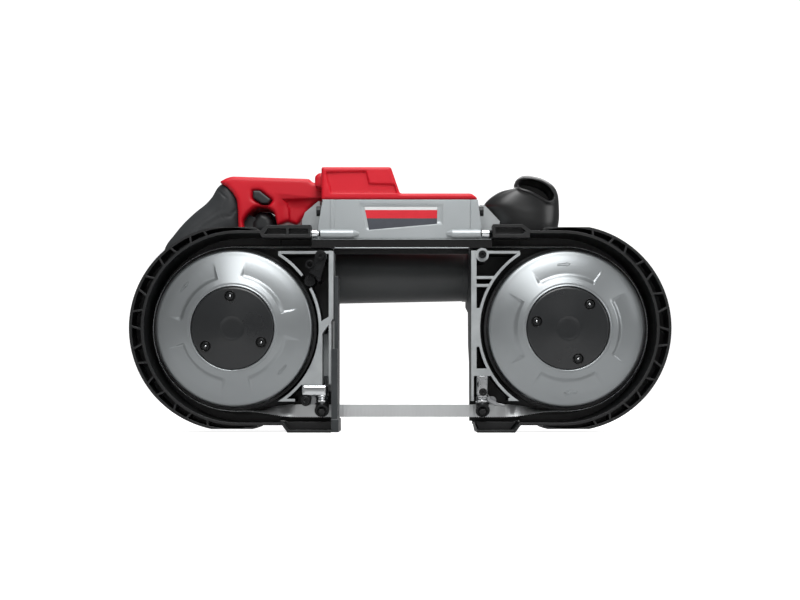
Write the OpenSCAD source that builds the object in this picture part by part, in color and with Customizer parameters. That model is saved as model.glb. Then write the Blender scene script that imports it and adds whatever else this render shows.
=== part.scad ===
// Portable deep-cut band saw. Two wheels in a cast frame carry a blade loop round an open throat.
// Millimetres. X runs along the blade, Y goes from the blade side to the operator's side, Z is up.
// Depths along Y are counted from the front rims of the two guards.

/* [Overall] */
// Depth from the guards' front rims to the back of the battery rails
body_depth = 132; // [128:1:140]
// Height of both wheel axes above the ground
axle_height = 99.5; // [98:0.5:104]

/* [Blade and wheels] */
// Distance between the two wheel axes
wheel_spacing = 320; // [312:2:330]
// Radius of the blade's middle line on the wheels
blade_radius = 79.6; // [78:0.2:80.4]
// Width of the blade, teeth included
blade_width = 12.7; // [11:0.1:13]
// Thickness of the blade
blade_thickness = 0.5; // [0.4:0.05:0.7]
// Depth of the tooth tips behind the guards' rims while the blade is on a wheel
blade_front = 23; // [22:0.5:24]
// Radius of the bright wheel disc
disc_radius = 74.6; // [70:0.2:75]
// Thickness of the rubber tyre
tyre_thickness = 3; // [2:0.5:3.5]
// Radius of the dark hub cap
hub_cap_radius = 39.5; // [34:0.5:44]
// Radius on which the hub cap's three screws sit
cap_screw_circle = 30.7; // [26:0.1:32]
// Radius of the wheel axles
axle_radius = 8; // [7:0.5:9]

/* [Guards] */
// Outer radius of each guard's inner wall round its wheel
guard_radius = 92.5; // [91:0.5:95]
// Thickness of the guards' walls
guard_wall = 2.5; // [2:0.1:3]
// Depth of the guards
guard_depth = 48; // [46.5:0.5:52]
// Radius of the bumper outside each guard
bumper_radius = 98; // [97.5:0.1:99]
// Number of hollow cells in each bumper
bumper_cells = 14; // [10:1:18]
// Distance of each guard's centre from the wheel's, towards the throat
guard_shift = 6.3; // [5:0.1:8]

/* [Frame] */
// Depth of the front face of the frame's back plate
plate_front = 42; // [41.5:0.5:43]
// Thickness of the back plate
plate_thickness = 4; // [3:0.5:6]
// Depth of the front edges of the frame's ribs
rib_front = 10; // [8:1:14]
// Thickness of the frame's ribs
rib_thickness = 2.6; // [2:0.2:3.4]
// Place of the throat's left wall along X
throat_left = -66; // [-70:1:-62]
// Place of the throat's right wall along X
throat_right = 68; // [64:1:72]
// Height of the throat's roof above the ground
throat_top = 184; // [180:1:186]

/* [Motor] */
// Outer radius of the motor housing
motor_radius = 27; // [25:0.5:28]
// Height of the motor shaft above the ground
motor_height = 155.5; // [150:0.5:158]
// Depth of the motor shaft behind the guards' rims
motor_back = 80; // [78:0.5:84]
// Radius of the motor shaft
motor_shaft_radius = 4; // [3.5:0.5:5]

/* [Gears] */
// Module of the spur gears
spur_module = 1.5; // [1.4:0.05:1.55]
// Teeth on the spur pinion
spur_pinion_teeth = 14; // [12:1:16]
// Teeth on the output gear
output_gear_teeth = 74; // [70:1:76]
// Module of the bevel gears
bevel_module = 1.3; // [1.2:0.05:1.35]
// Teeth on the bevel pinion
bevel_pinion_teeth = 10; // [9:1:12]
// Teeth on the bevel gear
bevel_gear_teeth = 40; // [36:1:42]

/* [Handles] */
// Depth of the middle plane of the main handle
handle_back = 75; // [70:1:78]
// Thickness of the main handle across the hand
handle_thickness = 46; // [40:1:50]
// Thickness of the rubber grip
grip_thickness = 38; // [34:1:42]
// Travel of the trigger
trigger_travel = 6; // [4:0.5:7]
// Travel of the lock-off button
lock_travel = 3; // [2:0.5:4]

/* [Blade tension and work stop] */
// Travel of the idler wheel when the tension lever is released
tension_travel = 3.5; // [2:0.5:3.5]
// Length of the tension lever
lever_length = 46; // [40:1:46]
// Thickness of the work stop shoe
shoe_thickness = 6; // [4:0.5:7]
// Travel of the work stop shoe
shoe_travel = 25; // [10:1:26]

/* [Battery interface] */
// Width between the two battery rails
rail_gap = 52; // [48:1:56]
// Length of the battery rails
rail_length = 68; // [60:1:72]

/* [Hidden] */
$fn = 96;

// Clearance between pieces that sit beside each other
part_gap = 0.3;
// Clearance of a shaft or pin in its bore
running_gap = 0.05;

drive_x = -wheel_spacing / 2;
idler_x = wheel_spacing / 2;
plate_back = plate_front + plate_thickness;

// The blade and the tyres it runs on
blade_back = blade_front + blade_width;
blade_mid = blade_front + blade_width / 2;
tyre_radius = blade_radius - blade_thickness / 2 - running_gap;
tyre_front = blade_front + 1.2;
tyre_back = blade_back + 1.8;
rim_radius = tyre_radius - tyre_thickness;
cut_height = axle_height - blade_radius;
return_height = axle_height + blade_radius;

// The wheels, as distances behind the guards' rims
cap_front = 1.2;
disc_front = 4.4;
disc_edge_front = 14.5;
cap_seat = 7.4;
hub_front = 12.4;
hub_back = 39.4;
bearing_width = 8;
idler_bearing_radius = 14;
idler_bearing_front = [14, 30];
screw_radius = 2;
cap_screw_head = 4;

// The guards
guard_inner = guard_radius - guard_wall;
left_guard_x = drive_x + guard_shift;
right_guard_x = idler_x - guard_shift;
bumper_wall = 2.5;
cell_floor = 22;
bumper_depth = 46;
flange_front = plate_front - 2;
left_tab_end = -85;
right_tab_end = 88;
tab_depth = 18;
rod_height = 190.3;
rod_front = 11;
rod_radius = 2.4;

// The frame
well_inner = 82;
idler_well_inner = tyre_radius + tension_travel + 0.7;
arm_wall = 2.5;
bearing_seat_radius = 16;
bearing_boss_radius = 21;
boss_front = 40;
boss_back = 50;
bridge_top = 222;
foot_height = 6;
foot_depth = 86;
left_foot_x = -102;
right_foot_x = 102;
foot_width = 20;
lug_depth = 92;
motor_window = 29;
grip_foot = 156;
front_foot = 178;
corner_screws = [[-76, 168.5, 5.6], [78.5, 170, 6.4]];
case_ears = [-150, -105, -55, -15, 190, 160];

// The gear train: a spur pair, then a bevel pair whose cones meet on the motor's axis
gear_distance = spur_module * (spur_pinion_teeth + output_gear_teeth) / 2;
lay_angle = asin((motor_height - axle_height) / gear_distance);
lay_x = drive_x + gear_distance * cos(lay_angle);
pressure_angle = 25;
spur_front = 52;
spur_width = 9;
output_tip = spur_module * (output_gear_teeth / 2 + 1);
bevel_gear_radius = bevel_module * bevel_gear_teeth / 2;
bevel_pinion_radius = bevel_module * bevel_pinion_teeth / 2;
bevel_gear_angle = atan(bevel_gear_radius / bevel_pinion_radius);
bevel_rim = bevel_gear_radius + 2;
case_wall = 3;
case_gap = 1.5;
case_inner = output_tip + case_gap;
case_outer = case_inner + case_wall;
ear_circle = case_outer + 4.2;
bevel_case_inner = bevel_rim + case_gap;
bevel_case_outer = bevel_case_inner + case_wall;
spur_room_back = 64;
case_back = 99;
lay_bearing_front = 90;
nose_radius = 18;
nose_end = lay_x + bevel_gear_radius + 11;
motor_bearing_radius = 11;
pinion_neck = 2;
motor_bearing_x = nose_end - 9;
small_bearing_radius = 8;
shaft_end_radius = 6;
shaft_end_bearing_radius = 13;
shaft_end_bearing_front = 65;

// The motor
motor_right = throat_right;
end_cap_length = 13;
end_bearing_x = motor_right + arm_wall + 0.5;
stator_left = -40;
stator_length = 50;
bore_radius = motor_radius - 4;
rotor_radius = 12;
air_gap = 0.6;
fan_x = 26;

// Tension
pivot_x = 97;
lever_front = 59.8;
lever_back = 66;
cam_front = plate_back + 1;
cam_depth = 8;
carriage_left = 131;
carriage_right = 190;
carriage_half = 17.5;
carriage_back = 56;
plunger_x = 109;
cam_reach = plunger_x - part_gap - pivot_x;
pivot_radius = 4;
spring_radius = 4.7;
spring_wire = 1.6;
spring_turns = 6;
plunger_back = cam_front + cam_depth / 2;

// Guides
left_guide_x = -75;
right_guide_x = 78.8;
face_roller_radius = 4.5;
back_roller_radius = 4;
roller_top = 33.9;
roller_bottom = 19.5;
pin_radius = 1.6;
stud_radius = 6.4;
stud_tilt = 28;
stud_front = 7;
stud_height = 20.6;
stud_length = 11;
shoe_screws = [118, 142];
shoe_screw_depth = 30;
shoe_left = -65.7;
shoe_right = shoe_left + shoe_thickness;
back_roller_offset = 10.5;
face_roller_offset = blade_thickness / 2 + running_gap + face_roller_radius;
back_roller_height = cut_height + blade_width / 2 + running_gap + back_roller_radius;
twist_start = wheel_spacing / 2 - 10;
twist_end = 90;

// Handles and housings
shell_split = handle_back;
handle_front = handle_back - handle_thickness / 2;
handle_rear = handle_back + handle_thickness / 2;
panel_front = 12;
panel_wall = 2.5;
panel_left = -79;
panel_right = 78;
panel_bottom = 186.3;
panel_top = 223.2;
deck_front = 14;
housing_back = 120;
deck_top = 230;
box_left = -76;
box_right = -9;
box_top = 255.6;
trigger_width = 22;
rail_height = 12;

// Shifts a piece so that the whole saw is centred in depth
module body_space() translate([0, -body_depth / 2, 0]) children();

// An outline drawn in X and Z, made solid from depth y0 to depth y1
module slab(y0, y1) translate([0, y1, 0]) rotate([90, 0, 0]) linear_extrude(y1 - y0) children();

// An outline drawn in Y and Z, made solid from x0 to x1
module slice(x0, x1) translate([x0, 0, 0]) rotate([90, 0, 90]) linear_extrude(x1 - x0) children();

// A round bar along Y
module bar_y(x, z, y0, y1, r) translate([x, y1, z]) rotate([90, 0, 0]) cylinder(h = y1 - y0, r = r);

// A round bar along X
module bar_x(y, z, x0, x1, r) translate([x0, y, z]) rotate([0, 90, 0]) cylinder(h = x1 - x0, r = r);

// A profile of radius and depth, turned about an axis along Y
module turned(x, z) translate([x, 0, z]) rotate([-90, 0, 0]) rotate_extrude() children();

// A ring along Y
module ring_y(x, z, y0, y1, outer, inner) difference() {
    bar_y(x, z, y0, y1, outer);
    bar_y(x, z, y0 - 1, y1 + 1, inner);
}

// A ring along X
module ring_x(y, z, x0, x1, outer, inner) difference() {
    bar_x(y, z, x0, x1, outer);
    bar_x(y, z, x0 - 1, x1 + 1, inner);
}

// A socket head screw along Y, head towards the front, with a hexagonal socket
module screw_y(x, z, head_front, head_height, head_radius, tip) difference() {
    union() {
        bar_y(x, z, head_front, head_front + head_height, head_radius);
        bar_y(x, z, head_front + head_height, tip, screw_radius - running_gap);
    }
    translate([x, head_front + head_height * 0.6, z]) rotate([90, 0, 0])
        cylinder(h = head_height, r = head_radius * 0.5, $fn = 6);
}

// Two circles of different radii joined by their outer tangents
module tangent_body(x1, z1, r1, x2, z2, r2) {
    span = norm([x2 - x1, z2 - z1]);
    heading = atan2(z2 - z1, x2 - x1);
    spread = acos((r1 - r2) / span);
    polygon([
        for (k = [0:30]) let (a = heading + spread + (360 - 2 * spread) * k / 30) [x1, z1] + r1 * [cos(a), sin(a)],
        for (k = [0:20]) let (a = heading - spread + 2 * spread * k / 20) [x2, z2] + r2 * [cos(a), sin(a)]]);
}

// The D-shaped area inside a guard: half a circle round the wheel, then straight to the throat
module guard_area(side, r, reach) {
    x = side < 0 ? left_guard_x : right_guard_x;
    translate([x, axle_height]) circle(r);
    translate([side < 0 ? x : reach, axle_height - r]) square([abs(reach - x), 2 * r]);
}

// Unit normal to the left of a step
function left_normal(a, b) = [a[1] - b[1], b[0] - a[0]] / norm(b - a);

// An outline that runs anticlockwise, moved inwards by d
function inset(p, d) = [for (i = [0:len(p) - 1])
    let (n = len(p), a = left_normal(p[(i + n - 1) % n], p[i]), b = left_normal(p[i], p[(i + 1) % n]))
    p[i] + d * (a + b) / max(1 + a * b, 0.5)];

// Skins a stack of rings that all have the same number of points
module skin(rings) {
    n = len(rings[0]);
    last = len(rings) - 1;
    polyhedron(points = [for (ring = rings) each ring],
        faces = [
            [for (i = [0:n - 1]) i],
            for (k = [0:last - 1]) for (i = [0:n - 1])
                [k * n + i, (k + 1) * n + i, (k + 1) * n + (i + 1) % n],
            for (k = [0:last - 1]) for (i = [0:n - 1])
                [k * n + i, (k + 1) * n + (i + 1) % n, k * n + (i + 1) % n],
            [for (i = [n - 1:-1:0]) last * n + i]]);
}

// A moulded half shell: the outline from a flat face at depth flat to a rounded face at depth face
module moulded(p, flat, face, r, steps = 3) {
    dir = face > flat ? 1 : -1;
    skin_rings = [
        [for (q = p) [q[0], flat, q[1]]],
        for (k = [0:steps]) let (a = 90 * k / steps, edge = inset(p, r * (1 - cos(a))))
            [for (q = edge) [q[0], face - dir * r * (1 - sin(a)), q[1]]]];
    skin(dir < 0 ? skin_rings : [for (k = [len(skin_rings) - 1:-1:0]) skin_rings[k]]);
}

// Frame

// Outline of the frame's back plate: the floor of both wheel wells and the bridge between them
module plate_outline() {
    for (side = [-1, 1]) intersection() {
        guard_area(side, guard_inner - part_gap, 0);
        translate([side < 0 ? throat_left - 300 : throat_right, 0]) square([300, 200]);
    }
    polygon([[panel_left - 18, throat_top], [panel_right + 20, throat_top], [panel_right + 20, 206.6],
        [panel_right + 5, bridge_top], [panel_left - 5, bridge_top], [panel_left - 18, 208]]);
}

// Outline of the left arm's ribs, drawn round the well
module left_ribs() {
    difference() {
        intersection() {
            difference() {
                translate([drive_x, axle_height]) circle(well_inner + rib_thickness);
                translate([drive_x, axle_height]) circle(well_inner);
            }
            translate([-117, 29.5]) square([60, 144]);
        }
        translate([drive_x, axle_height])
            polygon([[0, 0], 120 * [cos(27.5), sin(27.5)], 120 * [cos(37.6), sin(37.6)]]);
    }
    translate([-117, 171]) square([53, rib_thickness]);
    translate([-66.6, 109]) square([rib_thickness, 63]);
    polygon([[-112.4, 32], [-112.4, 29.5], [-101, 29.5], [-101, 32]]);
    difference() {
        polygon([[-66.6, 112], [-64, 109.4], [-72.3, 98], [-74.6, 94.6], [-74.6, 45.5], [-100, 45.5], [-92, 112]]);
        translate([drive_x, axle_height]) circle(well_inner + 1);
        polygon([[-84, 101.5], [-66.6, 111.9], [-66.6, 130], [-84, 130]]);
    }
}

// Outline of the right arm's ribs
module right_ribs() {
    x = throat_right + arm_wall;
    intersection() {
        difference() {
            translate([idler_x, axle_height]) circle(idler_well_inner + rib_thickness);
            translate([idler_x, axle_height]) circle(idler_well_inner);
        }
        translate([60, 30]) square([55, 144]);
    }
    difference() {
        union() {
            translate([x, 54]) square([rib_thickness, 120]);
            translate([x, 171.2]) square([44, rib_thickness]);
            translate([x, 147]) square([30, rib_thickness]);
            translate([x, 139.4]) square([30, rib_thickness]);
            translate([x, 82]) square([30, 37]);
            translate([x, 54]) square([30, 7]);
            polygon([[103.7, 32.6], [103.7, 30], [112.5, 30], [110, 34]]);
        }
        translate([idler_x, axle_height]) circle(idler_well_inner + 1);
    }
}

// Cast foot behind an arm, with its flat underside on the rubber pad
module cast_foot(x) translate([x - foot_width / 2, 0, 0]) slice(0, foot_width)
    polygon([[guard_depth + 1, foot_height], [foot_depth, foot_height], [foot_depth, 14], [plate_back + 8, 40],
        [plate_front, 40], [plate_front, 12], [guard_depth + 1, 12]]);

// Bracket behind the plate that one end of a handle stands on
module handle_lug(x0, x1, z0, z1, gussets) {
    slab(plate_front + 1, lug_depth) translate([x0, z0]) square([x1 - x0, z1 - z0]);
    for (x = gussets) translate([x, 0, 0]) slice(0, 3)
        polygon([[plate_front + 1, z0 - 12], [lug_depth, z0 + 1], [plate_front + 1, z0 + 1]]);
}

// Side wall of an arm, low beside the cut and deep at the top where it holds the motor
module arm_side(x, low, step) slice(x, x + arm_wall)
    polygon([[rib_front, low], [38, low], [38 + step, 60], [62, 84], [66, 118], [110, 126], [110, 183],
        [plate_front, 183], [plate_front, 174], [rib_front, 174]]);

module frame_casting() body_space() color("gainsboro") difference() {
    union() {
        slab(plate_front, plate_back) plate_outline();
        slab(rib_front, plate_front + 1) left_ribs();
        slab(rib_front, plate_front + 1) right_ribs();
        slab(30, plate_front + 1) translate([-75.5, 54]) square([75.5 + throat_left, 41]);
        for (c = corner_screws) bar_y(c[0], c[1], rib_front - 1, plate_front + 1, c[2]);
        bar_y(drive_x, axle_height, boss_front, boss_back, bearing_boss_radius);
        bar_y(lay_x, motor_height, plate_front, boss_back, small_bearing_radius + 4);
        arm_side(throat_left - arm_wall, 46, 8);
        arm_side(throat_right, 30, 0);
        // shoulders either side of the upper housing
        slab(plate_front, 66) polygon([[panel_left - 0.2, 190], [-97, 190], [-97, 208], [-94, 215.5], [-81, 226.5],
            [panel_left - 0.2, 226.5]]);
        slab(plate_front, 66) polygon([[panel_right + 0.4, 190], [92, 190], [92.4, 200], [98.4, 206.6],
            [83, 222.8], [panel_right + 0.4, 222.8]]);
        cast_foot(left_foot_x);
        cast_foot(right_foot_x);
        handle_lug(-222, -207, grip_foot - 13, grip_foot, [-222]);
        slab(guard_depth + 1, lug_depth) translate([-240, grip_foot - 13]) square([20, 13]);
        handle_lug(98, 150, front_foot - 12, front_foot, [98, 147]);
        // rails of the tension carriage
        for (s = [-1, 1]) {
            z = axle_height + s * (carriage_half + part_gap + 2);
            translate([120, plate_back - 1, z - 2]) cube([84, carriage_back + part_gap + 3.6 - plate_back, 4]);
            translate([120, carriage_back + part_gap, z - 2 - s * 2]) cube([84, 2.6, 4]);
        }
        bar_y(pivot_x, axle_height, plate_front, lever_back, pivot_radius);
    }
    for (c = corner_screws) bar_y(c[0], c[1], rib_front - 2, rib_front + 18, screw_radius);
    bar_y(drive_x, axle_height, boss_front - 1, boss_back + 1, bearing_seat_radius);
    bar_y(lay_x, motor_height, plate_front + 1, boss_back + 1, small_bearing_radius);
    bar_x(motor_back, motor_height, throat_left - arm_wall - 1, throat_left + 1, motor_window);
    bar_x(motor_back, motor_height, throat_right - 1, throat_right + arm_wall + 1, 18);
    for (a = case_ears) rotate_about(a) bar_y(ear_circle, 0, plate_front + 1, plate_back + 1, screw_radius);
    for (z = shoe_screws) bar_x(shoe_screw_depth, z, throat_left - 4, throat_left + 4, screw_radius);
    bar_y(pivot_x, axle_height, plate_back + 8, lever_back + 1, screw_radius);
    // window that the idler's axle slides in
    slab(plate_front - 1, plate_back + 1) translate([idler_x - 14 - tension_travel, axle_height - 14])
        square([28 + tension_travel, 28]);
    // slots that the top walls of the guards stand in
    slab(plate_front - 1, guard_depth + part_gap) for (x = [left_tab_end + part_gap - 20, right_tab_end - part_gap])
        translate([x, axle_height + guard_inner - part_gap]) square([20, guard_radius - guard_inner + 2 * part_gap]);
    // open pockets of the bridge
    for (x = [-52, -12, 28]) translate([x, plate_front - 1, 192]) cube([32, plate_thickness + 2, 24]);
}

// Guards

// Zigzag of slanted partitions between the guard's wall and its bumper
module bumper_ribs(side) {
    x = side < 0 ? drive_x : idler_x;
    step = 150 / bumper_cells;
    for (i = [0:bumper_cells]) translate([x, axle_height])
        rotate(side < 0 ? 105 + i * step : 75 - i * step)
            translate([guard_inner, 0]) rotate(i % 2 == 0 ? 18 : -18)
                translate([-8, -0.9]) square([22, 1.8]);
}

module bumper_ring(side, outer) {
    x = side < 0 ? drive_x : idler_x;
    intersection() {
        translate([x, axle_height]) circle(outer);
        translate([x + (side < 0 ? -110 : -24), axle_height - 96]) square([134, 192]);
    }
}

// Raised box at the top of a guard that the hinge rod enters
module tab_outline(side) {
    if (side < 0) polygon([[-134, 190.5], [-127, 197], [left_tab_end, 197.4], [left_tab_end, 185.4], [-131, 185.4]]);
    else polygon([[right_tab_end, 185.4], [right_tab_end, 198], [116, 198], [123, 192.6], [123, 185.4]]);
}

module tab_openings(side) {
    if (side < 0) {
        polygon([[-129.5, 188.4], [-125.5, 194], [-108.4, 194], [-108.4, 188.4]]);
        polygon([[-105.9, 188.4], [-105.9, 194], [-87.4, 194], [-87.4, 188.4]]);
    } else polygon([[right_tab_end + 2.4, 188.6], [right_tab_end + 2.4, 195], [114.8, 195], [119.4, 191.4], [116, 188.6]]);
}

// The dropped floor beside the throat that the saw stands on
module sill_outline(side, grow) {
    if (side < 0) polygon([[-111.5 - grow, 9.6], [-105.5 - grow * 0.6, 2.5 - grow], [throat_left, 2.5 - grow],
        [throat_left, 9.6]]);
    else polygon([[throat_right + 2.9, 9.6], [throat_right + 5.4, 2.5 - grow], [107.5 + grow * 0.6, 2.5 - grow],
        [114 + grow, 9.6]]);
}

module guard(side) {
    top_end = side < 0 ? left_tab_end : right_tab_end;
    low_end = side < 0 ? throat_left : throat_right + 2.9;
    difference() {
        union() {
            slab(0, guard_depth) difference() {
                union() {
                    guard_area(side, guard_radius, top_end);
                    intersection() {
                        guard_area(side, guard_radius, low_end);
                        translate([-200, -10]) square([400, 60]);
                    }
                }
                guard_area(side, guard_inner, 0);
            }
            slab(2, bumper_depth) difference() {
                bumper_ring(side, bumper_radius);
                bumper_ring(side, bumper_radius - bumper_wall);
                guard_area(side, guard_inner + 1, 0);
            }
            slab(2, bumper_depth) difference() {
                intersection() {
                    bumper_ribs(side);
                    bumper_ring(side, bumper_radius - 1);
                }
                guard_area(side, guard_radius - 1, 0);
            }
            slab(cell_floor, cell_floor + 2) difference() {
                bumper_ring(side, bumper_radius - 1);
                guard_area(side, guard_radius - 1, 0);
            }
            slab(0, tab_depth) tab_outline(side);
            slab(0, guard_depth) sill_outline(side, 2.5);
            // flange that lies on the frame's plate
            slab(flange_front, plate_front) difference() {
                guard_area(side, guard_inner + 1, side < 0 ? -118 : 118);
                guard_area(side, well_inner + 1, 0);
            }
        }
        slab(-1, 6) tab_openings(side);
        slab(-1, guard_depth - 2) sill_outline(side, 0);
        bar_x(rod_front, rod_height, side < 0 ? -92 : right_tab_end - 1, side < 0 ? left_tab_end + 1 : 95,
            rod_radius + running_gap);
    }
}

module drive_guard() body_space() color([0.09, 0.09, 0.1]) guard(-1);

module idler_guard() body_space() color([0.09, 0.09, 0.1]) guard(1);

// Black cover over the return run of the blade
module blade_cover() body_space() color([0.07, 0.07, 0.08]) slice(left_tab_end, right_tab_end)
    polygon([[panel_front, return_height - 2], [panel_front + 2, return_height - 2], [panel_front + 2, 183],
        [plate_front, 183], [plate_front, panel_bottom - 0.8], [panel_front, panel_bottom - 0.8]]);

// Upper housing and drive housings

// Slopes of the frame round the rating plate's place
plate_recess = [[-39.5, 219.3], [-33.5, 193.2], [40.7, 199.8], [40.7, 218.9]];
plate_place = [[-34.5, 216.8], [-29.9, 194.2], [35.3, 200], [35.6, 216.8]];

// Half-round boss on the panel's lower edge, with a sloped inner end
module rod_boss(x0, x1, tip) {
    bar_x(rod_front, rod_height, x0, x1, 3.9);
    translate([tip > x1 ? x1 : x0, rod_front, rod_height]) rotate([0, tip > x1 ? 90 : -90, 0])
        cylinder(h = abs(tip - (tip > x1 ? x1 : x0)), r1 = 3.9, r2 = 1.6);
}

module upper_housing() body_space() color("silver") difference() {
    union() {
        difference() {
            slab(panel_front, plate_front) polygon([[panel_left, panel_bottom], [panel_right - 5, panel_bottom],
                [panel_right, 196.5], [panel_right - 3.5, panel_top], [panel_left + 4.6, panel_top],
                [panel_left, 196.5]]);
            slab(panel_front + panel_wall, plate_front + 1) polygon([
                [panel_left + panel_wall, panel_bottom + panel_wall],
                [panel_right - 8, panel_bottom + panel_wall],
                [panel_right - panel_wall, 196.5], [panel_right - 6, panel_top - panel_wall],
                [panel_left + 7.1, panel_top - panel_wall], [panel_left + panel_wall, 196.5]]);
        }
        // raised band beside the left edge
        slab(panel_front - 0.6, panel_front + 1) translate([-67, panel_bottom]) square([3.6, 36.9]);
        rod_boss(panel_left + 2.6, -45, -39.5);
        rod_boss(50, panel_right - 1, 44.5);
    }
    slab(panel_front - 1, panel_front + 0.7) polygon(plate_recess);
    slab(panel_front - 1, panel_front + 1.6) polygon(plate_place);
    for (x = [panel_left - 1, 54]) bar_x(rod_front, rod_height, x, x + 26, rod_radius + running_gap);
    // seam beside the right edge
    slab(panel_front - 1, panel_front + 0.5) translate([67, panel_bottom - 1]) square([0.7, 40]);
    for (x = [panel_left - 1, panel_right - 8]) bar_x(22, 213.5, x, x + 9, screw_radius);
}

// Bare plate in the panel's recess
module label_plate() body_space() color([0.75, 0.75, 0.76])
    slab(panel_front + 0.9, panel_front + 1.6) polygon(plate_place);

// Cast case that bolts over the gears behind the drive wheel
module gear_case() body_space() color("darkgray") difference() {
    union() {
        slab(plate_back, spur_room_back + case_wall)
            tangent_body(drive_x, axle_height, case_outer, lay_x, motor_height, bevel_case_outer - 0.4);
        bar_y(lay_x, motor_height, plate_back, case_back, bevel_case_outer);
        bar_y(drive_x, axle_height, spur_room_back, shaft_end_bearing_front + 11, shaft_end_bearing_radius + 4);
        bar_x(motor_back, motor_height, lay_x, nose_end, nose_radius);
        for (a = case_ears) slab(plate_back, plate_back + 6) case_ear(a);
        // cooling ribs on the back wall
        for (a = [150:30:300]) translate([drive_x, 0, axle_height]) rotate([0, -a, 0])
            translate([20, spur_room_back, -1.2]) cube([case_outer - 22, 6, 2.4]);
    }
    slab(plate_back - 1, spur_room_back)
        tangent_body(drive_x, axle_height, case_inner, lay_x, motor_height, bevel_case_inner - 0.4);
    bar_y(lay_x, motor_height, plate_back - 1, lay_bearing_front, bevel_case_inner);
    bar_y(lay_x, motor_height, lay_bearing_front - 1, lay_bearing_front + 6, small_bearing_radius);
    bar_y(drive_x, axle_height, spur_room_back - 1, shaft_end_bearing_front + 8, shaft_end_bearing_radius);
    bar_x(motor_back, motor_height, lay_x, motor_bearing_x + 1, 9.6);
    bar_x(motor_back, motor_height, motor_bearing_x, nose_end + 1, motor_bearing_radius);
    for (a = case_ears) rotate_about(a) bar_y(ear_circle, 0, plate_back - 1, plate_back + 7, screw_radius);
}

// Bolting ear of the gear case
module case_ear(a) translate([drive_x, axle_height]) rotate(a) {
    translate([ear_circle, 0]) circle(5);
    translate([case_outer - 3, -5]) square([ear_circle - case_outer + 3, 10]);
}

// Turns things made at (x, z) round the drive shaft by an angle that runs from X towards Z
module rotate_about(a) translate([drive_x, 0, axle_height]) rotate([0, -a, 0]) children();

module motor_housing() body_space() color([0.2, 0.2, 0.21]) difference() {
    union() {
        translate([nose_end + running_gap, motor_back, motor_height]) rotate([0, 90, 0])
            cylinder(h = motor_right - nose_end - 2 * running_gap, r1 = motor_radius + 1, r2 = motor_radius - 2);
        bar_x(motor_back, motor_height, motor_right - 5, motor_right - running_gap, motor_radius - 1.4);
    }
    bar_x(motor_back, motor_height, nose_end + 4, motor_right + 1, bore_radius);
    bar_x(motor_back, motor_height, nose_end - 1, nose_end + 5, motor_bearing_radius);
    for (a = [-60:20:60]) translate([stator_left + stator_length + 8, motor_back, motor_height])
        rotate([a - 90, 0, 0]) translate([0, -1.5, motor_radius - 6]) cube([14, 3, 10]);
}

module motor_end_cap() body_space() color([0.2, 0.2, 0.21]) difference() {
    x = motor_right + arm_wall;
    union() {
        difference() {
            bar_x(motor_back, motor_height, x, x + end_cap_length, motor_radius - 2);
            bar_x(motor_back, motor_height, x - 1, x + end_cap_length - 3, motor_radius - 5);
        }
        bar_x(motor_back, motor_height, x + 1.5, x + end_cap_length - 1, small_bearing_radius + 3);
    }
    bar_x(motor_back, motor_height, x, end_bearing_x + 7, small_bearing_radius);
    for (a = [0:30:330]) translate([x, motor_back, motor_height]) rotate([a, 0, 0])
        translate([5, -1.6, small_bearing_radius + 5]) cube([end_cap_length, 3.2, 8]);
}

module stator() body_space() color("peru") difference() {
    bar_x(motor_back, motor_height, stator_left, stator_left + stator_length, bore_radius - running_gap);
    bar_x(motor_back, motor_height, stator_left - 1, stator_left + stator_length + 1, rotor_radius + air_gap);
    for (a = [0:30:330]) translate([stator_left - 1, motor_back, motor_height]) rotate([a, 0, 0])
        translate([0, -1.2, rotor_radius]) cube([stator_length + 2, 2.4, 7]);
}

// Ball bearings, drawn as their outer rings with the shaft's running clearance
module bearing_y(x, z, y0, width, outer, inner) {
    ring_y(x, z, y0, y0 + width, outer - running_gap, outer - (outer - inner) * 0.3);
    ring_y(x, z, y0 + 0.4, y0 + width - 0.4, outer - (outer - inner) * 0.3, inner + (outer - inner) * 0.3);
    ring_y(x, z, y0, y0 + width, inner + (outer - inner) * 0.3, inner + running_gap);
}

module bearing_x(x0, width, outer, inner) translate([x0, motor_back, motor_height]) rotate([0, 90, 0])
    difference() {
        cylinder(h = width, r = outer - running_gap);
        translate([0, 0, -1]) cylinder(h = width + 2, r = inner + running_gap);
        for (z = [-1, width - 0.6]) translate([0, 0, z]) difference() {
            cylinder(h = 1.6, r = outer - (outer - inner) * 0.3);
            translate([0, 0, -1]) cylinder(h = 4, r = inner + (outer - inner) * 0.3);
        }
    }

module shaft_bearings() body_space() color("lightsteelblue") {
    bearing_y(drive_x, axle_height, boss_back - 9, bearing_width, bearing_seat_radius, axle_radius);
    bearing_y(drive_x, axle_height, shaft_end_bearing_front, 7, shaft_end_bearing_radius, shaft_end_radius);
    bearing_y(lay_x, motor_height, boss_back - 7, 6, small_bearing_radius, motor_shaft_radius);
    bearing_y(lay_x, motor_height, lay_bearing_front, 5.5, small_bearing_radius, motor_shaft_radius);
    bearing_x(motor_bearing_x + 0.5, 7, motor_bearing_radius, motor_shaft_radius);
    bearing_x(end_bearing_x, 6, small_bearing_radius, motor_shaft_radius);
}

// Gears

// Involute of an angle, in degrees
function involute(a) = tan(a) * 180 / PI - a;

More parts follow.
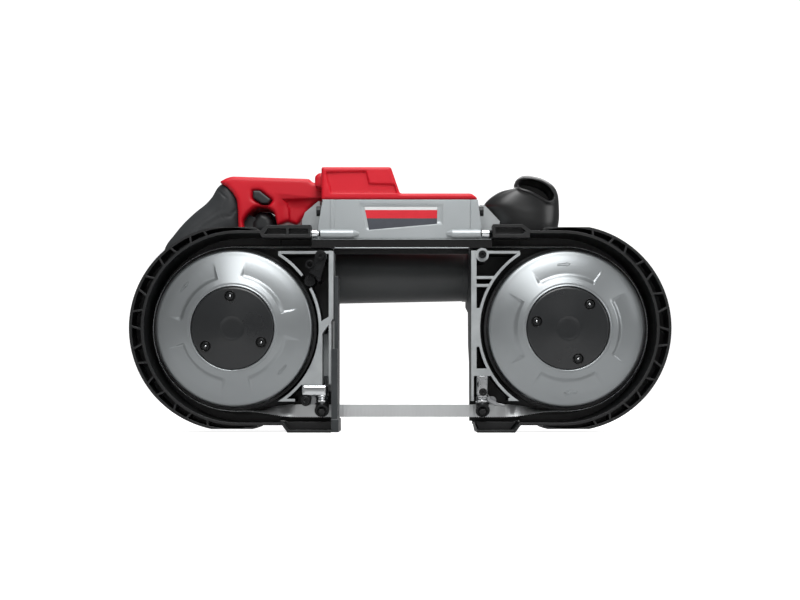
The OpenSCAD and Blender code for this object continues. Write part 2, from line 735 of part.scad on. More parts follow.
// Outline of a spur gear with one tooth pointing along X
function spur_outline(m, n, play) = let (
    pitch = m * n / 2, base = pitch * cos(pressure_angle), tip = pitch + 0.95 * m, root = pitch - 1.2 * m,
    low = max(base, root), half = 90 / n - play + involute(pressure_angle),
    flank = [for (k = [0:3]) let (r = low + (tip - low) * k / 3) [r, half - involute(acos(base / r))]])
    [for (i = [0:n - 1]) let (c = i * 360 / n) each concat(
        root < low - 0.01 ? [root * [cos(c - flank[0][1]), sin(c - flank[0][1])]] : [],
        [for (f = flank) f[0] * [cos(c - f[1]), sin(c - f[1])]],
        [for (k = [3:-1:0]) let (f = flank[k]) f[0] * [cos(c + f[1]), sin(c + f[1])]],
        root < low - 0.01 ? [root * [cos(c + flank[0][1]), sin(c + flank[0][1])]] : [])];

// Outline of a bevel gear where its pitch circle lies, for a pitch cone of half angle cone
function bevel_outline(m, n, cone, height, play) = let (
    rise = 0.8 * m, fall = 1.05 * m, distance = height / cos(cone),
    back = m * n / 2 / cos(cone), base = back * cos(pressure_angle),
    half = (90 / n - play) * cos(cone) + involute(pressure_angle),
    flank = [for (k = [0:3]) let (t = -fall + (rise + fall) * k / 3, r = max(back + t, base))
        [height * tan(cone + atan(t / distance)), (half - involute(acos(min(1, base / r)))) / cos(cone)]])
    [for (i = [0:n - 1]) let (c = i * 360 / n) each concat(
        [for (f = flank) f[0] * [cos(c - f[1]), sin(c - f[1])]],
        [for (k = [3:-1:0]) let (f = flank[k]) f[0] * [cos(c + f[1]), sin(c + f[1])]])];

module output_gear() body_space() color("slategray") difference() {
    slab(spur_front, spur_front + spur_width) translate([drive_x, axle_height])
        rotate(lay_angle + 180 / output_gear_teeth)
            polygon(spur_outline(spur_module, output_gear_teeth, 0.12));
    bar_y(drive_x, axle_height, spur_front - 1, spur_front + spur_width + 1, axle_radius + running_gap);
    for (a = [0:60:300]) rotate_about(a) bar_y(32, 0, spur_front - 1, spur_front + spur_width + 1, 9);
}

module drive_shaft() body_space() color("lightslategray") {
    bar_y(drive_x, axle_height, 7.8, spur_front + spur_width, axle_radius);
    bar_y(drive_x, axle_height, boss_back + 0.4, spur_front, axle_radius + 3);
    bar_y(drive_x, axle_height, spur_front, shaft_end_bearing_front + 7, shaft_end_radius);
    ring_y(drive_x, axle_height, spur_front + spur_width, shaft_end_bearing_front - 0.4, axle_radius + 2,
        shaft_end_radius - 1);
    translate([drive_x, hub_front - 0.1, axle_height]) rotate([90, 0, 0]) cylinder(h = 3.6, r = 12, $fn = 6);
}

module layshaft() body_space() color("slategray") {
    bar_y(lay_x, motor_height, plate_front + 1.4, lay_bearing_front + 5.6, motor_shaft_radius);
    slab(spur_front - 1, spur_front + spur_width + 1) translate([lay_x, motor_height])
        rotate(lay_angle + 180) polygon(spur_outline(spur_module, spur_pinion_teeth, 0.55));
}

module bevel_gear() body_space() color("slategray") {
    flat = bevel_pinion_radius + 1.6;
    top = bevel_pinion_radius * 0.42;
    root = motor_back - flat;
    difference() {
        union() {
            bar_y(lay_x, motor_height, root - 3, root, bevel_rim);
            translate([lay_x, root, motor_height]) rotate([-90, 0, 0]) intersection() {
                linear_extrude(flat - top, scale = top / flat) rotate(180 / bevel_gear_teeth)
                    polygon(bevel_outline(bevel_module, bevel_gear_teeth, bevel_gear_angle,
                        bevel_pinion_radius, 0.4) * flat / bevel_pinion_radius);
                cylinder(h = 20, r = bevel_rim);
            }
        }
        bar_y(lay_x, motor_height, root - 4, motor_back, motor_shaft_radius + running_gap);
        bar_y(lay_x, motor_height, root, motor_back, bevel_gear_radius * 0.66);
    }
}

module bevel_pinion() body_space() color("slategray") {
    face = 8;
    difference() {
        translate([lay_x + bevel_gear_radius, motor_back, motor_height]) rotate([0, -90, 0])
            linear_extrude(face, scale = 1 - face / bevel_gear_radius) rotate(90)
                polygon(bevel_outline(bevel_module, bevel_pinion_teeth, 90 - bevel_gear_angle,
                    bevel_gear_radius, 1.4));
        bar_x(motor_back, motor_height, lay_x + bevel_gear_radius - 5.2, lay_x + bevel_gear_radius + 1,
            pinion_neck + running_gap);
    }
}

module motor_shaft() body_space() color("lightslategray") {
    bar_x(motor_back, motor_height, lay_x + bevel_gear_radius + 0.05, end_bearing_x + 6, motor_shaft_radius);
    bar_x(motor_back, motor_height, lay_x + bevel_gear_radius - 5, lay_x + bevel_gear_radius + 0.1, pinion_neck);
}

module rotor_core() body_space() color("dimgray")
    ring_x(motor_back, motor_height, stator_left, stator_left + stator_length, rotor_radius,
        motor_shaft_radius + running_gap);

module cooling_fan() body_space() color("black") difference() {
    union() {
        bar_x(motor_back, motor_height, fan_x, fan_x + 12, motor_shaft_radius + 3);
        bar_x(motor_back, motor_height, fan_x, fan_x + 1.4, bore_radius - 2);
        for (a = [0:40:320]) translate([fan_x, motor_back, motor_height]) rotate([a, 0, 0])
            translate([0, -0.6, motor_shaft_radius + 2]) cube([10, 1.2, bore_radius - motor_shaft_radius - 4.4]);
    }
    bar_x(motor_back, motor_height, fan_x - 1, fan_x + 13, motor_shaft_radius + running_gap);
}

// Wheels, blade and tension

// Wheel with a dished front, a deep hub and six ribs behind its web
module wheel(x, bore) difference() {
    union() {
        turned(x, axle_height) polygon([[bore, hub_front], [14, hub_front], [14, cap_seat],
            [hub_cap_radius + 0.4, cap_seat], [hub_cap_radius + 0.4, disc_front], [43, disc_front],
            [disc_radius - 5.6, 11.5], [disc_radius - 1.6, 13], [disc_radius - 0.1, disc_edge_front + 0.5],
            [disc_radius + 0.2, 18], [rim_radius - 0.8, 22], [rim_radius, 24], [rim_radius, 38], [71.5, 38],
            [71, 22], [66, 16.5], [42, 10.9], [24, 12.8], [21, hub_back], [bore, hub_back]]);
        // ribs behind the web
        for (a = [0:60:300]) translate([x, 0, axle_height]) rotate([0, -a, 0]) translate([0, 0, -1.5])
            linear_extrude(3) polygon([[20, 12.2], [42, 9], [66.5, 15], [73, 22.5], [73, 34], [20, 34]]);
    }
    for (a = cap_screw_angles(x)) translate([x, 0, axle_height]) rotate([0, -a, 0])
        bar_y(cap_screw_circle, 0, cap_seat - 1, 13, screw_radius);
}

// Directions of the hub cap's screws, from X towards Z, as each wheel stands
function cap_screw_angles(x) = x < 0 ? [94, 214, 334] : [48, 168, 288];

module hub_cap(x) difference() {
    turned(x, axle_height) polygon([[0, cap_front + 0.4], [8.5, cap_front + 0.4], [9.3, cap_front],
        [12, cap_front], [hub_cap_radius - 2, 4.2], [hub_cap_radius, 5.2], [hub_cap_radius, cap_seat - running_gap],
        [15, cap_seat - running_gap], [15, 4], [0, 4]]);
    for (a = cap_screw_angles(x)) translate([x, 0, axle_height]) rotate([0, -a, 0]) {
        bar_y(cap_screw_circle, 0, cap_front - 1, 5.2, cap_screw_head + 0.8);
        bar_y(cap_screw_circle, 0, 5, cap_seat + 1, screw_radius);
    }
}

module cap_screws(x) for (a = cap_screw_angles(x)) translate([x, 0, axle_height]) rotate([0, -a, 0])
    screw_y(cap_screw_circle, 0, 2.4, 2.75, cap_screw_head, 11);

module tyre(x) ring_y(x, axle_height, tyre_front, tyre_back, tyre_radius, rim_radius + running_gap);

module drive_wheel() body_space() color("silver") wheel(drive_x, axle_radius + running_gap);

module drive_tyre() body_space() color([0.1, 0.1, 0.1]) tyre(drive_x);

module drive_hub_cap() body_space() color([0.15, 0.15, 0.16]) hub_cap(drive_x);

module drive_cap_screws() body_space() color("dimgray") cap_screws(drive_x);

module idler_wheel() body_space() color("silver") difference() {
    wheel(idler_x, axle_radius + 2.4);
    for (y = idler_bearing_front) bar_y(idler_x, axle_height, y, y + bearing_width + 0.2, idler_bearing_radius);
    bar_y(idler_x, axle_height, hub_front - 1, idler_bearing_front[0] + 1, idler_bearing_radius - 1.5);
    bar_y(idler_x, axle_height, idler_bearing_front[1] + bearing_width, hub_back + 1, idler_bearing_radius);
}

module idler_tyre() body_space() color([0.1, 0.1, 0.1]) tyre(idler_x);

module idler_hub_cap() body_space() color([0.15, 0.15, 0.16]) hub_cap(idler_x);

module idler_cap_screws() body_space() color("dimgray") cap_screws(idler_x);

module idler_bearings() body_space() color("lightsteelblue") for (y = idler_bearing_front)
    bearing_y(idler_x, axle_height, y + 0.1, bearing_width, idler_bearing_radius, axle_radius);

module idler_axle() body_space() color("lightslategray") {
    bar_y(idler_x, axle_height, 7.9, carriage_back - 0.4, axle_radius);
    translate([idler_x, hub_front - part_gap, axle_height]) rotate([90, 0, 0]) cylinder(h = 3.6, r = 11, $fn = 6);
}

module idler_carriage() body_space() color("darkgray") {
    difference() {
        union() {
            translate([carriage_left, plate_back + part_gap, axle_height - carriage_half])
                cube([carriage_right - carriage_left, carriage_back - plate_back - part_gap, 2 * carriage_half]);
            bar_y(idler_x, axle_height, boss_front + 0.5, plate_back + 1, 13);
        }
        bar_y(idler_x, axle_height, boss_front, carriage_back + 1, axle_radius + running_gap);
    }
    bar_x(plunger_back, axle_height, plunger_x, carriage_left + 1, 2.6);
    bar_x(plunger_back, axle_height, plunger_x, plunger_x + 3, spring_radius);
}

module tension_spring() body_space() color("silver") {
    steps = 10 * spring_turns;
    length = carriage_left - plunger_x - 3.2 - spring_wire;
    start = plunger_x + 3.1 + spring_wire / 2;
    skin([for (i = [0:steps]) let (a = i * 36, x = start + length * i / steps)
        [for (j = [5:-1:0]) let (b = j * 60, r = spring_radius - 1 + cos(b) * spring_wire / 2)
            [x + sin(b) * spring_wire / 2, plunger_back + r * cos(a), axle_height + r * sin(a)]]]);
}

// Lever whose cam holds the idler carriage out while it points down
module tension_lever() body_space() color([0.12, 0.12, 0.13]) difference() {
    union() {
        slab(cam_front, cam_front + cam_depth) translate([pivot_x, axle_height])
            polygon([for (a = [-180:6:174]) (cam_reach - tension_travel * abs(a) / 180) * [cos(a), sin(a)]]);
        bar_y(pivot_x, axle_height, cam_front + cam_depth - 1, lever_back, pivot_radius + 3.4);
        slab(lever_front, lever_back - 1) translate([pivot_x, axle_height])
            tangent_body(0, 0, pivot_radius + 4.4, 0, -lever_length, 6);
        bar_y(pivot_x, axle_height - lever_length, lever_front, lever_back + 6, 8);
    }
    bar_y(pivot_x, axle_height, cam_front - 1, lever_back + 1, pivot_radius + running_gap);
}

// The blade: a closed band, flat on the wheels and turned on edge through the throat
half_turn = 48;
twist_steps = 10;

// Share of the quarter turn that the band has made at a distance x from the middle
function twist_at(x) = let (t = min(1, max(0, (twist_start - abs(x)) / (twist_start - twist_end))))
    90 * t * t * (3 - 2 * t);

// The four corners of the band where its middle is at (x, z), its width leans by tilt towards down,
// and its outer face looks along out
function band(x, z, out, tilt) = let (
    wide = [0, cos(tilt), sin(tilt)], thick = tilt > 0 ? [0, sin(tilt), -cos(tilt)] : [out[0], 0, out[1]],
    c = [x, blade_mid, z], w = wide * blade_width / 2, h = thick * blade_thickness / 2)
    [c - w - h, c + w - h, c + w + h, c - w + h];

module blade() body_space() color("silver") {
    chord = 1 / cos(90 / half_turn);
    stations = concat(
        [for (i = [0:half_turn]) let (a = 90 + i * 180 / half_turn, r = blade_radius * chord)
            band(drive_x + r * cos(a), axle_height + r * sin(a), [cos(a), sin(a)], 0)],
        [for (i = [1:twist_steps]) let (x = drive_x + (twist_end * -1 - drive_x) * i / twist_steps)
            band(x, cut_height, [0, -1], twist_at(x))],
        [for (i = [0:twist_steps - 1]) let (x = twist_end + (idler_x - twist_end) * i / twist_steps)
            band(x, cut_height, [0, -1], twist_at(x))],
        [for (i = [0:half_turn]) let (a = -90 + i * 180 / half_turn, r = blade_radius * chord)
            band(idler_x + r * cos(a), axle_height + r * sin(a), [cos(a), sin(a)], 0)]);
    n = len(stations);
    polyhedron(points = [for (s = stations) each s],
        faces = [for (i = [0:n - 1]) for (j = [0:3]) for (half = [0, 1])
            let (a = i * 4 + j, b = i * 4 + (j + 1) % 4, c = ((i + 1) % n) * 4 + (j + 1) % 4, d = ((i + 1) % n) * 4 + j)
                half == 0 ? [a, b, c] : [a, c, d]]);
}

// Guides

// Holes of one guide block for its upright pins and its post
module guide_post_holes(x) {
    for (s = [-1, 1]) translate([x, blade_mid + s * face_roller_offset, roller_top])
        cylinder(h = 9, r = pin_radius + running_gap);
    translate([x, stud_front + 7.5, roller_top]) cylinder(h = 8, r = 2.5 + running_gap);
}

module guide_block_left() body_space() color("silver") difference() {
    union() {
        slab(12, plate_front - running_gap) polygon([[-94, 45.1], [-94, 37.5], [-90.4, 34.3], [-70.3, 34.3],
            [-70.3, 45.1]]);
        slab(26, plate_front - running_gap) polygon([[-90, 36], [-90, 25.4], [-84, 25.4], [-81, 28.5], [-81, 36]]);
    }
    guide_post_holes(left_guide_x);
    bar_y(left_guide_x - back_roller_offset, back_roller_height, 25, 34, back_roller_radius + 0.6);
    bar_y(left_guide_x - back_roller_offset, back_roller_height, 33, 40, pin_radius + running_gap);
    bar_y(-82, 39.5, 11, 20, screw_radius);
}

module guide_block_right() body_space() color("silver") difference() {
    union() {
        slab(12, plate_front - running_gap) polygon([[71, 53.8], [71, 34.3], [92, 34.3], [84.5, 46], [84.5, 53.8]]);
        slab(26, plate_front - running_gap) polygon([[84.8, 36], [84.8, 28.5], [88, 25.4], [94, 25.4], [94, 36]]);
    }
    guide_post_holes(right_guide_x);
    bar_y(right_guide_x + back_roller_offset, back_roller_height, 25, 34, back_roller_radius + 0.6);
    bar_y(right_guide_x + back_roller_offset, back_roller_height, 33, 40, pin_radius + running_gap);
    bar_y(78, 46, 11, 20, screw_radius);
}

// Pins of the six rollers, with small heads below the upright ones
module guide_pins() body_space() color("lightslategray") {
    for (x = [left_guide_x, right_guide_x]) for (s = [-1, 1])
        translate([x, blade_mid + s * face_roller_offset, roller_bottom - 1.1]) {
            cylinder(h = roller_top - roller_bottom + 9, r = pin_radius);
            cylinder(h = 0.8, r = pin_radius + 1);
        }
    for (x = [left_guide_x - back_roller_offset, right_guide_x + back_roller_offset]) {
        bar_y(x, back_roller_height, 24.6, 39, pin_radius);
        bar_y(x, back_roller_height, 24.6, 25.4, pin_radius + 1);
    }
}

module upright_roller(x, s) body_space() color("gray")
    translate([x, blade_mid + s * face_roller_offset, roller_bottom]) difference() {
        cylinder(h = roller_top - roller_bottom, r = face_roller_radius);
        translate([0, 0, -1]) cylinder(h = 20, r = pin_radius + running_gap);
        for (z = [4.4, 9.4]) translate([0, 0, z]) difference() {
            cylinder(h = 0.6, r = face_roller_radius + 1);
            translate([0, 0, -1]) cylinder(h = 3, r = face_roller_radius - 0.35);
        }
    }

module back_roller(x) body_space() color("gray")
    ring_y(x, back_roller_height, 25.7, 32.7, back_roller_radius, pin_radius + running_gap);

module left_front_roller() upright_roller(left_guide_x, -1);

module left_rear_roller() upright_roller(left_guide_x, 1);

module left_back_roller() back_roller(left_guide_x - back_roller_offset);

module right_front_roller() upright_roller(right_guide_x, -1);

module right_rear_roller() upright_roller(right_guide_x, 1);

module right_back_roller() back_roller(right_guide_x + back_roller_offset);

// Polished stacks in front of the rollers, each on an upright post in its block
module guide_studs() body_space() color([0.85, 0.85, 0.87]) for (x = [left_guide_x, right_guide_x]) {
    translate([x, stud_front, stud_height]) rotate([stud_tilt - 90, 0, 0]) difference() {
        union() {
            cylinder(h = 2, r = stud_radius + 0.4);
            cylinder(h = stud_length, r = stud_radius - 0.6);
            translate([0, 0, 2.6]) cylinder(h = 3.6, r = stud_radius);
            translate([0, 0, 6.9]) cylinder(h = stud_length - 6.9, r = stud_radius);
        }
        translate([0, 0, -1]) cylinder(h = 3.4, r = stud_radius - 1.6);
        translate([0, 0, -1]) cylinder(h = 6, r = 2.6, $fn = 6);
    }
    translate([x, stud_front + 7.5, stud_height + 4]) cylinder(h = 17, r = 2.5);
}

// Work stop: a plate on the throat's left wall, slotted for the blade and for its two screws
module shoe() body_space() color([0.25, 0.25, 0.26]) difference() {
    union() {
        translate([shoe_left, 4, 12]) cube([shoe_thickness, 38, 68]);
        translate([shoe_right - 3.7, 14, 70]) cube([3.7, 27, 80]);
        translate([shoe_left, 2, 0.4]) cube([shoe_thickness + 1, 44, 12.2]);
    }
    translate([shoe_left - 3, blade_mid - 2.5, -1]) cube([shoe_thickness + 6, 5, 29]);
    translate([shoe_left - 3, shoe_screw_depth - 2.4, shoe_screws[0] - shoe_travel - 2.4])
        cube([shoe_thickness + 6, 4.8, shoe_screws[1] - shoe_screws[0] + shoe_travel + 4.8]);
    translate([shoe_right - 2, shoe_screw_depth - 4.6, shoe_screws[0] - shoe_travel - 4.6])
        cube([3, 9.2, shoe_screws[1] - shoe_screws[0] + shoe_travel + 9.2]);
}

// Handles and housings of the operator's side

// Outline of the main handle's red beam, from the grip's border to the housing
handle_outline = [[-161.2, 223.6], [-145.5, 221.2], [-143.1, 222.7], [-133.4, 222.7], [-126.2, 217.3],
    [-123.8, 208.9], [-123.4, 204.6], [-118.5, 205.6], [-112.9, 210.4], [-105.1, 206.9], [-101.6, 209.4],
    [-94.1, 219.6], [-85.7, 228.1], [-74.2, 231], [-74.2, 252.5], [-92, 253.9], [-125, 253.9], [-168.2, 256],
    [-175, 253.2], [-184, 247.6], [-172.2, 244.6], [-164.9, 234]];
strip_outline = [[-160.7, 190], [-155.9, 190], [-155.7, 198.5], [-157, 208.9], [-153, 215.2], [-147.6, 221.4],
    [-149.6, 226.5], [-159.2, 226.5], [-162.3, 219.5], [-162.2, 209.3]];
lock_outline = [[-147.3, 238.9], [-145.5, 231.8], [-132.4, 226.8], [-128.6, 230.8], [-142.5, 238.9]];
box_outline = [[box_left, deck_top - 6.2], [1.9, deck_top - 6.2], [box_right, box_top], [box_left, box_top]];
deck_outline = [[box_left, deck_top - 6.2], [74, deck_top - 6.2], [74, 226], [68.5, deck_top],
    [box_left, deck_top]];

// Rooms inside the beam and the box, and the passages of trigger and button
module shell_rooms() {
    slab(handle_back - 14, handle_back + 14) translate([-126, 226.5]) square([26, 22]);
    slab(deck_front + 6, housing_back - 3) polygon([[box_left + 3, deck_top - 3], [box_right - 3, deck_top - 3],
        [box_right - 5, box_top - 3.5], [box_left + 3, box_top - 3.5]]);
    slab(handle_front - 4, handle_rear + 4) offset(delta = part_gap) polygon(lock_outline);
}

module handle_shell_front() body_space() color([0.7, 0.08, 0.08]) difference() {
    union() {
        moulded(handle_outline, shell_split, handle_front, 2.4);
        moulded(box_outline, shell_split, deck_front, 4);
        slab(deck_front, shell_split) polygon(deck_outline);
        slab(handle_front + 1, handle_back - 11 - part_gap) polygon(strip_outline);
        // shoulder where the beam flows into the box
        slab(34, shell_split) polygon([[-85, 245], [-84, 240], [-80, 237.6], [-74, 237], [-74, 254.2], [-77.1, 254.1],
            [-83.4, 250.9]]);
    }
    shell_rooms();
    // stepped field on the box's front
    slab(deck_front - 1, deck_front + 2.5) polygon([[-71.5, 247.2], [-66.4, 230.4], [-3.2, 230.4], [-5.6, 238.5],
        [-30, 239.5], [-33, 251], [-70.5, 250]]);
    // lower field of the beam, set back beside the trigger's guard
    slab(handle_front - 1, handle_front + 4.5) polygon([[-121, 233.4], [-117, 228.5], [-112.4, 222], [-112.4, 203],
        [-98, 203], [-76.4, 226], [-76.4, 238]]);
}

module handle_shell_rear() body_space() color([0.7, 0.08, 0.08]) difference() {
    union() {
        moulded(handle_outline, shell_split + running_gap, handle_rear, 2.4);
        moulded([[box_left, 187], [box_right, 187], [box_right, box_top], [box_left, box_top]],
            shell_split + running_gap, housing_back, 4);
        slab(shell_split + running_gap, 106) polygon(deck_outline);
        slab(handle_back + 11 + part_gap, handle_rear - 1) polygon(strip_outline);
    }
    shell_rooms();
    slab(shell_split - 1, housing_back - 3) translate([box_left + 3, 190]) square([box_right - box_left - 6, 40]);
    // opening for the terminals
    slab(housing_back - 4, housing_back + 1) translate([-52.3, 200.7]) square([19.6, 35.6]);
}

// Hooked rails on the housing's back that a battery pack slides on
module battery_rails() body_space() color([0.13, 0.13, 0.14]) for (s = [-1, 1]) {
    x = (box_left + box_right) / 2 + s * (rail_gap / 2 + 3);
    translate([x - 3, housing_back + running_gap, 188]) cube([6, rail_height - running_gap, rail_length - 8]);
    translate([x - 3 - (s > 0 ? 3 : 0), housing_back + rail_height - 3, 188]) cube([9, 3, rail_length - 8]);
}

// One cross section of a lofted handle: a superellipse between two points of the outline
function section(a, b, half) = [for (k = [0:23]) let (t = k * 15, c = cos(t), s = sin(t),
    u = sign(c) * pow(abs(c), 0.8), v = sign(s) * pow(abs(s), 0.8))
    [(a[0] + b[0]) / 2 + (b[0] - a[0]) / 2 * u, handle_back + half * v, (a[1] + b[1]) / 2 + (b[1] - a[1]) / 2 * u]];

// Rubber grip that stands on its lug behind the drive guard
module main_grip() body_space() color([0.08, 0.08, 0.08]) difference() {
    skin([for (r = [
        [[-240.5, 156.1], [-207, 156.1], 0.88], [[-241.4, 171], [-204.5, 165], 0.93],
        [[-237.5, 185.5], [-199.5, 174], 0.96], [[-229, 197], [-191, 182], 1], [[-219.5, 208.5], [-182, 187.5], 1],
        [[-208, 219.5], [-172.5, 190.8], 1], [[-197.5, 228], [-163.6, 195], 1], [[-191, 235], [-162.7, 204], 1],
        [[-189, 240], [-163.5, 214], 1], [[-187, 243.5], [-162.6, 225], 0.98], [[-181.6, 244.4], [-165.6, 233.4], 0.95]])
        section(r[0], r[1], grip_thickness / 2 * r[2])]);
    // pocket that the trigger's tail slides in
    slab(handle_back - 11 - part_gap, handle_back + 11 + part_gap)
        translate([-167 - trigger_travel, 199 - part_gap]) square([14 + trigger_travel, 21 + 2 * part_gap]);
    handle_core();
}

// The red beam's own volume with its clearance, cut out of the grip's end
module handle_core() slab(handle_front - 1, handle_rear + 1) offset(delta = part_gap) {
    polygon(handle_outline);
    polygon(strip_outline);
}

// Horn-shaped front handle on the lug behind the idler guard
module front_handle() body_space() color([0.1, 0.1, 0.1]) difference() {
    skin([for (r = [
        [[100, 178.1], [149, 178.1], 14], [[98.5, 194], [157, 190], 16], [[97, 208], [159.8, 204], 18],
        [[88.5, 221], [161.3, 216], 18], [[86, 228], [161.3, 228], 17.5], [[91.7, 234.8], [160.2, 237], 17],
        [[102.5, 241.6], [157, 243.5], 16], [[112.5, 244.6], [150.7, 249.2], 14], [[115.5, 251], [142, 253.8], 11],
        [[119.5, 255.6], [132, 257.2], 7]]) section(r[0], r[1], r[2])]);
    slab(handle_back - 22, handle_back - 1) polygon([[118.6, 247], [120.6, 242.6], [130, 239.6], [141.1, 234],
        [149, 230], [153.6, 231.4], [155.1, 235.6], [150.1, 243], [142, 248.4], [131, 251.4], [121.4, 251.4]]);
}

module battery_terminals() body_space() color([0.13, 0.13, 0.14]) difference() {
    translate([-52, housing_back - 3.6, 201]) cube([19, 12.6, 35]);
    for (x = [-49.6, -44.6, -39.6]) translate([x, housing_back + 1, 205]) cube([2.4, 9, 32]);
    translate([-53, housing_back + 4, 200]) cube([4, 6, 40]);
}

module trigger_switch() body_space() color([0.15, 0.15, 0.16]) difference() {
    union() {
        slab(handle_back - 13.8, handle_back + 13.8) translate([-125.7, 226.8]) square([25.4, 17]);
        for (x = [-122, -112]) slab(handle_back - 8, handle_back - 4) translate([x, 243]) square([3, 5.2]);
    }
    slab(handle_back - 15, handle_back + 15) translate([-115, 238]) square([4, 7]);
}

module control_board() body_space() color([0.05, 0.3, 0.12]) {
    translate([-70, 58, deck_top - 2.9]) cube([55, 54, 1.7]);
    for (x = [-64, -46, -28]) translate([x, 64, deck_top - 2]) cube([10, 14, 9]);
    for (x = [-60, -40, -24]) translate([x, 98, deck_top - 2]) cylinder(h = 14, r = 5);
    translate([-62, 82, deck_top - 2]) cube([36, 8, 18]);
}

// Trigger: a paddle in the arch with a broad tail that slides into the grip
module trigger() body_space() color([0.13, 0.13, 0.14]) {
    slab(handle_back - 11, handle_back + 11) translate([-166, 199]) square([20, 21]);
    moulded([[-150, 197.5], [-130, 196.5], [-126.6, 203], [-127.5, 210], [-131, 216.5], [-137.5, 219.6],
        [-142.6, 219.4], [-146.8, 214.4], [-150, 209.4]], handle_back, handle_back - trigger_width / 2 - 2, 3, 2);
    moulded([[-150, 197.5], [-130, 196.5], [-126.6, 203], [-127.5, 210], [-131, 216.5], [-137.5, 219.6],
        [-142.6, 219.4], [-146.8, 214.4], [-150, 209.4]], handle_back - 0.01, handle_back + trigger_width / 2 + 2, 3, 2);
}

module lock_button() body_space() color([0.13, 0.13, 0.14])
    slab(handle_front + 0.4 - lock_travel, handle_rear - 0.3) polygon(lock_outline);

// Small parts of the frame

module guard_rods() body_space() color([0.85, 0.85, 0.87]) {
    bar_x(rod_front, rod_height, -91, -55.5, rod_radius);
    bar_x(rod_front, rod_height, left_tab_end + 0.4, panel_left - 0.4, rod_radius + 1.3);
    bar_x(rod_front, rod_height, 55.5, 94, rod_radius);
    bar_x(rod_front, rod_height, panel_right + 0.4, right_tab_end - 0.4, rod_radius + 1.3);
}

module housing_screws() body_space() color([0.12, 0.12, 0.12]) {
    for (s = [-1, 1]) {
        face = s < 0 ? -77 : 76.5;
        difference() {
            union() {
                bar_x(22, 213.5, min(face, face + s * 4), max(face, face + s * 4), 4.8);
                bar_x(22, 213.5, min(face, face - s * 4), max(face, face - s * 4), screw_radius - running_gap);
            }
            translate([face + s * 2, 22, 213.5]) rotate([0, s * 90, 0]) cylinder(h = 4, r = 2.4, $fn = 6);
        }
    }
}

module frame_screws() body_space() color([0.2, 0.2, 0.2]) {
    screw_y(corner_screws[0][0], corner_screws[0][1], 3, 3.3, 3.8, 26);
    screw_y(corner_screws[1][0], corner_screws[1][1], 5, 3.9, 3.8, 26);
    for (a = case_ears) rotate_about(a) difference() {
        union() {
            bar_y(ear_circle, 0, plate_back + 6.05, plate_back + 10, 3.8);
            bar_y(ear_circle, 0, plate_front + 1.2, plate_back + 7, screw_radius - running_gap);
        }
        translate([ear_circle, plate_back + 11, 0]) rotate([90, 0, 0]) cylinder(h = 3.5, r = 2, $fn = 6);
    }
    for (z = shoe_screws) {
        bar_x(shoe_screw_depth, z, shoe_right - 1.7, shoe_right - 0.1, 4.2);
        bar_x(shoe_screw_depth, z, throat_left - 2.4, shoe_right - 1, screw_radius - running_gap);
    }
    bar_y(pivot_x, axle_height, lever_back + 0.3, lever_back + 3.3, pivot_radius + 3);
    bar_y(pivot_x, axle_height, plate_back + 8.5, lever_back + 1, screw_radius - running_gap);
    bar_y(-82, 39.5, 8.6, 11.95, 3.8);
    bar_y(-82, 39.5, 11, 19.5, screw_radius - running_gap);
    bar_y(78, 46, 8.6, 11.95, 4.4);
    bar_y(78, 46, 11, 19.5, screw_radius - running_gap);
}

// Brush that wipes the blade's teeth, and the bracket that carries it
module wheel_brush() body_space() color([0.1, 0.1, 0.1]) translate([drive_x, 0, axle_height])
    rotate([0, -32.3, 0]) difference() {
        translate([81, 16, -6]) cube([12, 22, 12]);
        for (k = [0:6]) translate([80, 15, -5.2 + k * 1.6]) cube([6, 24, 0.7]);
    }

module brush_bracket() body_space() color([0.13, 0.13, 0.14]) difference() {
    union() {
        slab(6.4, 8.9) {
            translate([corner_screws[0][0], corner_screws[0][1]]) circle(5.6);
            polygon([[-81.4, 167], [-87, 153], [-76, 147.4], [-70.6, 166]]);
        }
        translate([drive_x, 0, axle_height]) rotate([0, -32.3, 0]) translate([93.05, 8, -6]) cube([3, 30, 12]);
    }
    bar_y(corner_screws[0][0], corner_screws[0][1], 5, 10, screw_radius);
}

module rear_feet() body_space() color([0.09, 0.09, 0.09]) for (x = [left_foot_x, right_foot_x])
    difference() {
        translate([x - foot_width / 2, guard_depth + 1, 0])
            cube([foot_width, foot_depth - guard_depth - 1, foot_height - running_gap]);
        for (y = [guard_depth + 6:6:foot_depth - 4]) translate([x - foot_width / 2 - 1, y, -1])
            cube([foot_width + 2, 2, 2]);
    }

frame_casting();
drive_guard();
idler_guard();
blade_cover();
upper_housing();
label_plate();
gear_case();
motor_housing();
motor_end_cap();
stator();
shaft_bearings();
handle_shell_front();
handle_shell_rear();
battery_rails();
main_grip();
front_handle();
battery_terminals();
trigger_switch();
control_board();
guide_block_left();
guide_block_right();
guide_pins();
guide_studs();
guard_rods();
housing_screws();
frame_screws();
wheel_brush();
brush_bracket();
rear_feet();
blade();
drive_wheel();
drive_tyre();
drive_hub_cap();
drive_cap_screws();
drive_shaft();
output_gear();
layshaft();
bevel_gear();
motor_shaft();
rotor_core();
cooling_fan();
bevel_pinion();
idler_carriage();
idler_axle();
tension_spring();
idler_wheel();
idler_tyre();
idler_hub_cap();
idler_cap_screws();
idler_bearings();
tension_lever();
trigger();
lock_button();
shoe();
left_front_roller();
left_rear_roller();
left_back_roller();
right_front_roller();
right_rear_roller();
right_back_roller();
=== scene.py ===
# Portable deep-cut band saw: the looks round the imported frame, for Blender 4.5.
# Shapes are worked out in saw millimetres: x along the blade, y as depth behind the guards' rims, z up.
import math

import bmesh
import bpy
import numpy as np
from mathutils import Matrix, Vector, geometry


